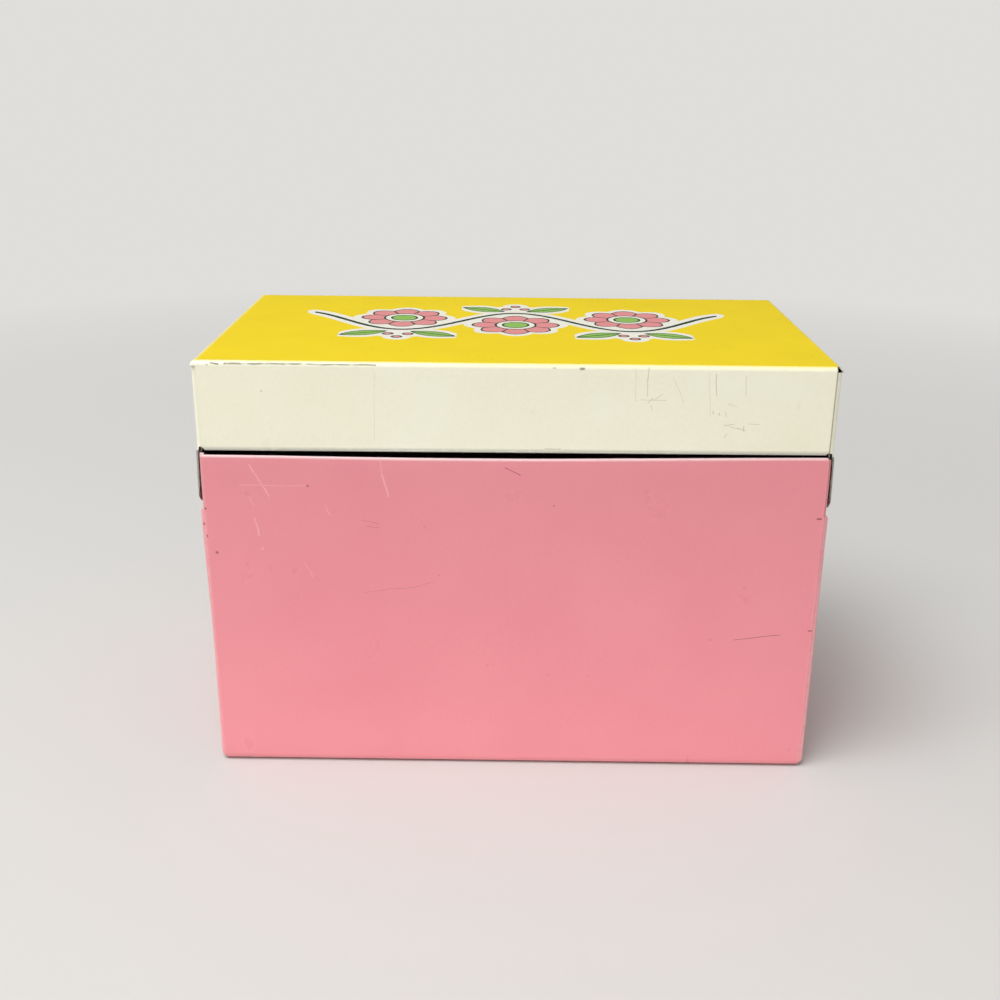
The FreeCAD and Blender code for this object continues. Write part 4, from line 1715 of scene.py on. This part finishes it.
    def shape_ear(self, bench: Bench, side: Side) -> None:
        """Round the ear's end below the rivet, and leave a web at its root.

        Args:
            bench: the lid with its ears square
            side: which side
        """
        def on_ear(middle: Vector) -> bool:
            """Tell whether a face of this side hangs below the lid's edge."""
            return (middle.x * side.value > self.seam_x and middle.z < self.hem_start_z - TOUCH
                    and middle.y < self.ear_root_y)

        bench.score(Axis.Z, (self.ear_root_z,), on_ear)
        bench.score(Axis.Y, (self.ear_front_y,), on_ear)
        bench.trim(lambda middle: on_ear(middle) and middle.y > self.ear_front_y
                   and middle.z < self.ear_root_z)
        hub = Vector((0, self.pivot.y, self.ear_hub_z))
        for degrees in range(-80, 90, 10):
            angle = math.radians(degrees)
            normal = Vector((0, math.sin(angle), -math.cos(angle)))
            bench.shear_off(lambda middle: on_ear(middle) and middle.z < self.ear_hub_z,
                            hub + normal * self.ear_radius, normal)

    def trim_seams(self, bench: Bench) -> None:
        """Open the top's corners, cut the hems' and tabs' ends back and notch the walls' lower corners.

        The corner at the rear left is pressed shut.

        Args:
            bench: the lid with all its walls
        """
        inside_y = self.wall_y - GAUGE.half
        hem_top = self.edge_z + GAUGE.hem_depth
        tab_base = hem_top + self.tab_clearance
        bench.trim(lambda middle: abs(middle.x) > self.seam_x and middle.z > self.band_z
                   and abs(middle.y) - self.wall_y > abs(middle.x) - self.wall_x
                   and max(middle.x, middle.y) > 0)

        def on_tab(middle: Vector) -> bool:
            """Tell whether a face lies on a corner tab."""
            return (abs(abs(middle.y) - self.tab_y) < TOUCH and abs(middle.x) > self.tab_x
                    and middle.z > self.hem_start_z)

        def in_end_strip(middle: Vector) -> bool:
            """Tell whether a face lies in the strip beside a seam of the rear or front wall."""
            return self.leaf_x < abs(middle.x) < self.seam_x

        bench.score(Axis.X, (-self.leaf_x, self.leaf_x))
        bench.score(Axis.Z, (tab_base,))
        bench.trim(lambda middle: in_end_strip(middle) and middle.z < hem_top
                   and self.bend_y < abs(middle.y) < inside_y and not on_tab(middle))
        bench.trim(lambda middle: on_tab(middle) and abs(middle.x) < self.leaf_x and middle.z < tab_base)
        for side in Side:
            corner = Vector((side.value * self.seam_x, 0, self.edge_z + self.seam_notch))
            bench.shear_off(lambda middle, way=side.value: in_end_strip(middle) and middle.x * way > 0
                            and abs(middle.y) > inside_y and middle.z < hem_top + self.skirt / 2,
                            corner, Vector((side.value, 0, -1)))

    def splay(self, z: float) -> float:
        """Return how far the ears stand out beyond the side walls at a level below them.

        Args:
            z: the level

        Returns:
            The distance.
        """
        return self.ear_splay * ease(self.edge_z - z, 0.0, self.splay_fade)

    def settle(self, corner: Vector) -> Vector:
        """Return where a corner lies in a lid that has been used for years.

        The top sags a little, the rear wall hangs lower towards its left end, and the ears
        stand out over the rivets.

        Args:
            corner: the corner as it was folded

        Returns:
            Its place now.
        """
        if corner.z > self.top_z - TOUCH:
            phase = corner.x / self.top_ripple_x + corner.y / self.top_ripple_y
            ripple = self.top_ripple * math.sin(phase)
            sag = (ripple - self.top_sag) * crown(corner.x, self.top_sag_x) * crown(corner.y, self.top_sag_y)
            return corner + Vector((0, 0, sag))
        if corner.z < self.edge_z - TOUCH:
            return corner + Vector((math.copysign(self.splay(corner.z), corner.x), 0, 0))
        sunk, drop = 0.0, 0.0
        if abs(corner.y) > self.wall_y - TOUCH:
            fade = ease(self.top_z - corner.z, *self.wall_sink_fade)
            sunk = self.wall_sink * crown(corner.x, self.wall_sink_x) * fade
        if corner.y < TOUCH - self.bend_y and abs(corner.x) < self.seam_x + TOUCH:
            share = min(max((self.band_z - corner.z) / (self.band_z - self.edge_z), 0.0), 1.0)
            drop = share * (LID_HANG.drop + LID_HANG.tilt * corner.x)
        return corner - Vector((0, math.copysign(sunk, corner.y), drop))

    def build(self) -> None:
        """Fold the lid, let it settle, punch its ears and hand it over."""
        bench = self.fold_top()
        self.drop_rear_and_front(bench)
        for side in Side:
            self.drop_side(bench, side)
            self.turn_corners(bench, side)
            self.shape_ear(bench, side)
        self.trim_seams(bench)
        bench.score(Axis.X, spaced(-self.score_x, self.score_x, self.cell))
        bench.score(Axis.Y, spaced(self.score_rear, self.score_front, self.cell))
        lowest = self.edge_z + self.cell + self.band
        bench.score(Axis.Z, spaced(lowest, self.tab_top_z - self.bend, self.cell))
        bench.face_out(Axis.Z.unit)
        bench.reshape(self.settle)
        piece = bench.close()
        thicken(piece)
        for side in Side:
            for y, z, radius in ((self.pivot.y, self.pivot.z, self.hole_radius),
                                 (self.ear_root_y, self.ear_root_z, self.ear_root_fillet)):
                punch(piece, Vector((side.value * (self.wall_x + self.splay(z)), y, z)), radius)
        self.part.hand_over(piece, (CREAM_ENAMEL, BARE_TINPLATE, SHEARED_EDGE))


@dataclass
class HingeRivets:
    """The two shoulder rivets: turned, upset inside the end panels and domed outside the ears."""

    right: Part = field(default_factory=lambda: Part("right_rivet_turned", "right_hinge_rivet",
                                                     Carrier.BODY, Slot.TINPLATE))
    left: Part = field(default_factory=lambda: Part("left_rivet_turned", "left_hinge_rivet",
                                                    Carrier.BODY, Slot.TINPLATE))
    first_ring: float = 1.3
    rings: tuple[tuple[float, float], ...] = (
        (0.12, 1.80), (0.27, 2.00), (0.50, 2.00), (0.50, 1.20), (0.78, 1.20), (0.78, 2.10),
        (1.33, 2.10), (1.33, 1.50), (1.73, 1.50), (1.73, 2.50), (1.93, 2.50), (2.01, 2.38),
        (2.08, 2.05), (2.12, 1.40), (2.13, 0.60),
    )

    def build(self) -> None:
        """Turn the right rivet, copy it for the left and hand both over."""
        low, high = box_of(self.right.node)
        pivot = (low + high) / 2
        bpy.ops.object.select_all(action="DESELECT")
        bpy.ops.mesh.primitive_circle_add(vertices=ROUND_SIDES, radius=self.first_ring, fill_type="NGON",
                                          location=(low.x, pivot.y, pivot.z),
                                          rotation=(0, math.radians(90.0), 0))
        bench = Bench(self.right.name)
        bpy.ops.mesh.select_all(action="SELECT")
        depth, radius = 0.0, self.first_ring
        for ring_depth, ring_radius in self.rings:
            bench.draw_out(Vector((ring_depth - depth, 0, 0)))
            bpy.ops.transform.resize(value=(1, ring_radius / radius, ring_radius / radius),
                                     center_override=(low.x + ring_depth, pivot.y, pivot.z))
            depth, radius = ring_depth, ring_radius
        bench.face_out(Axis.X.unit)
        bench.reshape(lambda corner: corner + Vector((BODY_FORM.spread_x, 0, 0)))
        right = bench.close()
        left = mirror_copy(right, self.left.name)
        for part, piece in ((self.right, right), (self.left, left)):
            part.hand_over(piece, (RIVET_METAL,))


@dataclass(frozen=True)
class Softbox:
    """An oblong lamp turned to a point, in metres, watts and degrees."""

    name: str
    place: tuple[float, float, float]
    aim: tuple[float, float, float]
    width: float
    height: float
    watts: float
    spread: float = 180.0

    def build(self) -> None:
        """Hang the lamp and turn it to its aim."""
        bpy.ops.object.light_add(type="AREA", location=self.place)
        lamp = bpy.context.object
        lamp.name = self.name
        lamp.data.shape = "RECTANGLE"
        lamp.data.size = self.width
        lamp.data.size_y = self.height
        lamp.data.energy = self.watts
        lamp.data.spread = math.radians(self.spread)
        lamp.rotation_euler = (Vector(self.aim) - lamp.location).to_track_quat("-Z", "Y").to_euler()


@dataclass(frozen=True)
class Studio:
    """The floor, the light and the camera, in metres and degrees."""

    camera_place: tuple[float, float, float] = (-0.0013, -0.2818, 0.1536)
    pitch: float = 19.91
    yaw: float = -0.41
    roll: float = 0.53
    focal_pixels: float = 1209.2
    image_pixels: float = 1000.0
    floor_size: float = 8.0
    floor_colour: str = "#c8c7c4"
    floor_roughness: float = 0.85
    backdrop_colour: str = "#dfdedb"
    fade_start: float = 0.15
    fade_end: float = 0.6
    world_strength: float = 0.52
    mirrored_front: float = 0.9
    mirrored_rear: float = 0.08
    mirrored_span: tuple[float, float] = (-0.3, 0.7)
    lamps: tuple[Softbox, ...] = (
        Softbox("key softbox", (-0.30, -0.32, 0.95), (0.0, 0.0, 0.05), 0.6, 0.6, 9.2),
        Softbox("low strip", (-0.07, -0.62, 0.05), (-0.07, -0.04, -0.03), 0.40, 0.06, 0.050, 24.0),
    )

    def add_floor(self) -> None:
        """Lay a pale floor that fades into the backdrop, so that no horizon shows."""
        bpy.ops.object.select_all(action="DESELECT")
        bpy.ops.mesh.primitive_plane_add(size=self.floor_size)
        floor = bpy.context.object
        floor.name = "floor"
        material = bpy.data.materials.new("pale studio floor")
        material.use_nodes = True
        tree = material.node_tree
        add = partial(add_node, tree)
        shader = tree.nodes["Principled BSDF"]
        shader.inputs["Base Color"].default_value = linear(self.floor_colour)
        shader.inputs["Roughness"].default_value = self.floor_roughness
        away = add("VectorMath", {0: add("TexCoord").outputs["Object"]}, operation="LENGTH").outputs["Value"]
        faded = ramp(add, away, self.fade_start, self.fade_end)
        seen = add("LightPath").outputs["Is Camera Ray"]
        share = calc(add, "MULTIPLY", faded, seen)
        glow = add("Emission", {"Color": linear(self.backdrop_colour), "Strength": 1.0})
        mixed = add("MixShader", {0: share, 1: shader, 2: glow})
        tree.links.new(mixed.outputs[0], tree.nodes["Material Output"].inputs["Surface"])
        floor.data.materials.append(material)

    def add_light(self) -> None:
        """Light the tin softly from all round and by softboxes, with a dim room behind to mirror."""
        world = bpy.data.worlds.new("studio")
        bpy.context.scene.world = world
        world.use_nodes = True
        tree = world.node_tree
        add = partial(add_node, tree)
        path = add("LightPath").outputs
        lit = tree.nodes["Background"]
        lit.inputs["Color"].default_value = (1, 1, 1, 1)
        lit.inputs["Strength"].default_value = self.world_strength
        heading = add("SeparateXYZ", {"Vector": add("TexCoord").outputs["Generated"]}).outputs["Y"]
        dimming = add("MapRange", {"Value": heading, "From Min": self.mirrored_span[0],
                                   "From Max": self.mirrored_span[1], "To Min": self.mirrored_front,
                                   "To Max": self.mirrored_rear})
        mirrored = add("Background", {"Color": (1, 1, 1, 1), "Strength": dimming})
        shown = add("Background", {"Color": linear(self.backdrop_colour), "Strength": 1.0})
        unseen = add("MixShader", {0: path["Is Glossy Ray"], 1: lit, 2: mirrored})
        mixed = add("MixShader", {0: path["Is Camera Ray"], 1: unseen, 2: shown})
        tree.links.new(mixed.outputs[0], tree.nodes["World Output"].inputs["Surface"])
        for lamp in self.lamps:
            lamp.build()

    def add_camera(self) -> None:
        """Set up the camera at the photograph's place."""
        camera = bpy.data.objects.new("camera", bpy.data.cameras.new("camera"))
        bpy.context.scene.collection.objects.link(camera)
        camera.data.lens = self.focal_pixels / self.image_pixels * camera.data.sensor_width
        camera.data.clip_start = 0.01
        turn = (Matrix.Rotation(math.radians(-self.yaw), 3, "Z")
                @ Matrix.Rotation(math.radians(90.0 - self.pitch), 3, "X")
                @ Matrix.Rotation(math.radians(self.roll), 3, "Z"))
        camera.rotation_euler = turn.to_euler()
        camera.location = self.camera_place
        bpy.context.scene.camera = camera

    def build(self) -> None:
        """Set up the floor, the light and the camera."""
        self.add_floor()
        self.add_light()
        self.add_camera()
        bpy.context.scene.view_settings.view_transform = "Standard"


def main() -> None:
    """Build the tin's sub-assemblies in order, then its stage."""
    logging.basicConfig(level=logging.INFO, format="%(message)s")
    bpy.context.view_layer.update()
    for assembly in (BodyWrap(), EndPanels(), FoldedLid(), HingeRivets(), Studio()):
        assembly.build()


if __name__ == "__main__":
    main()
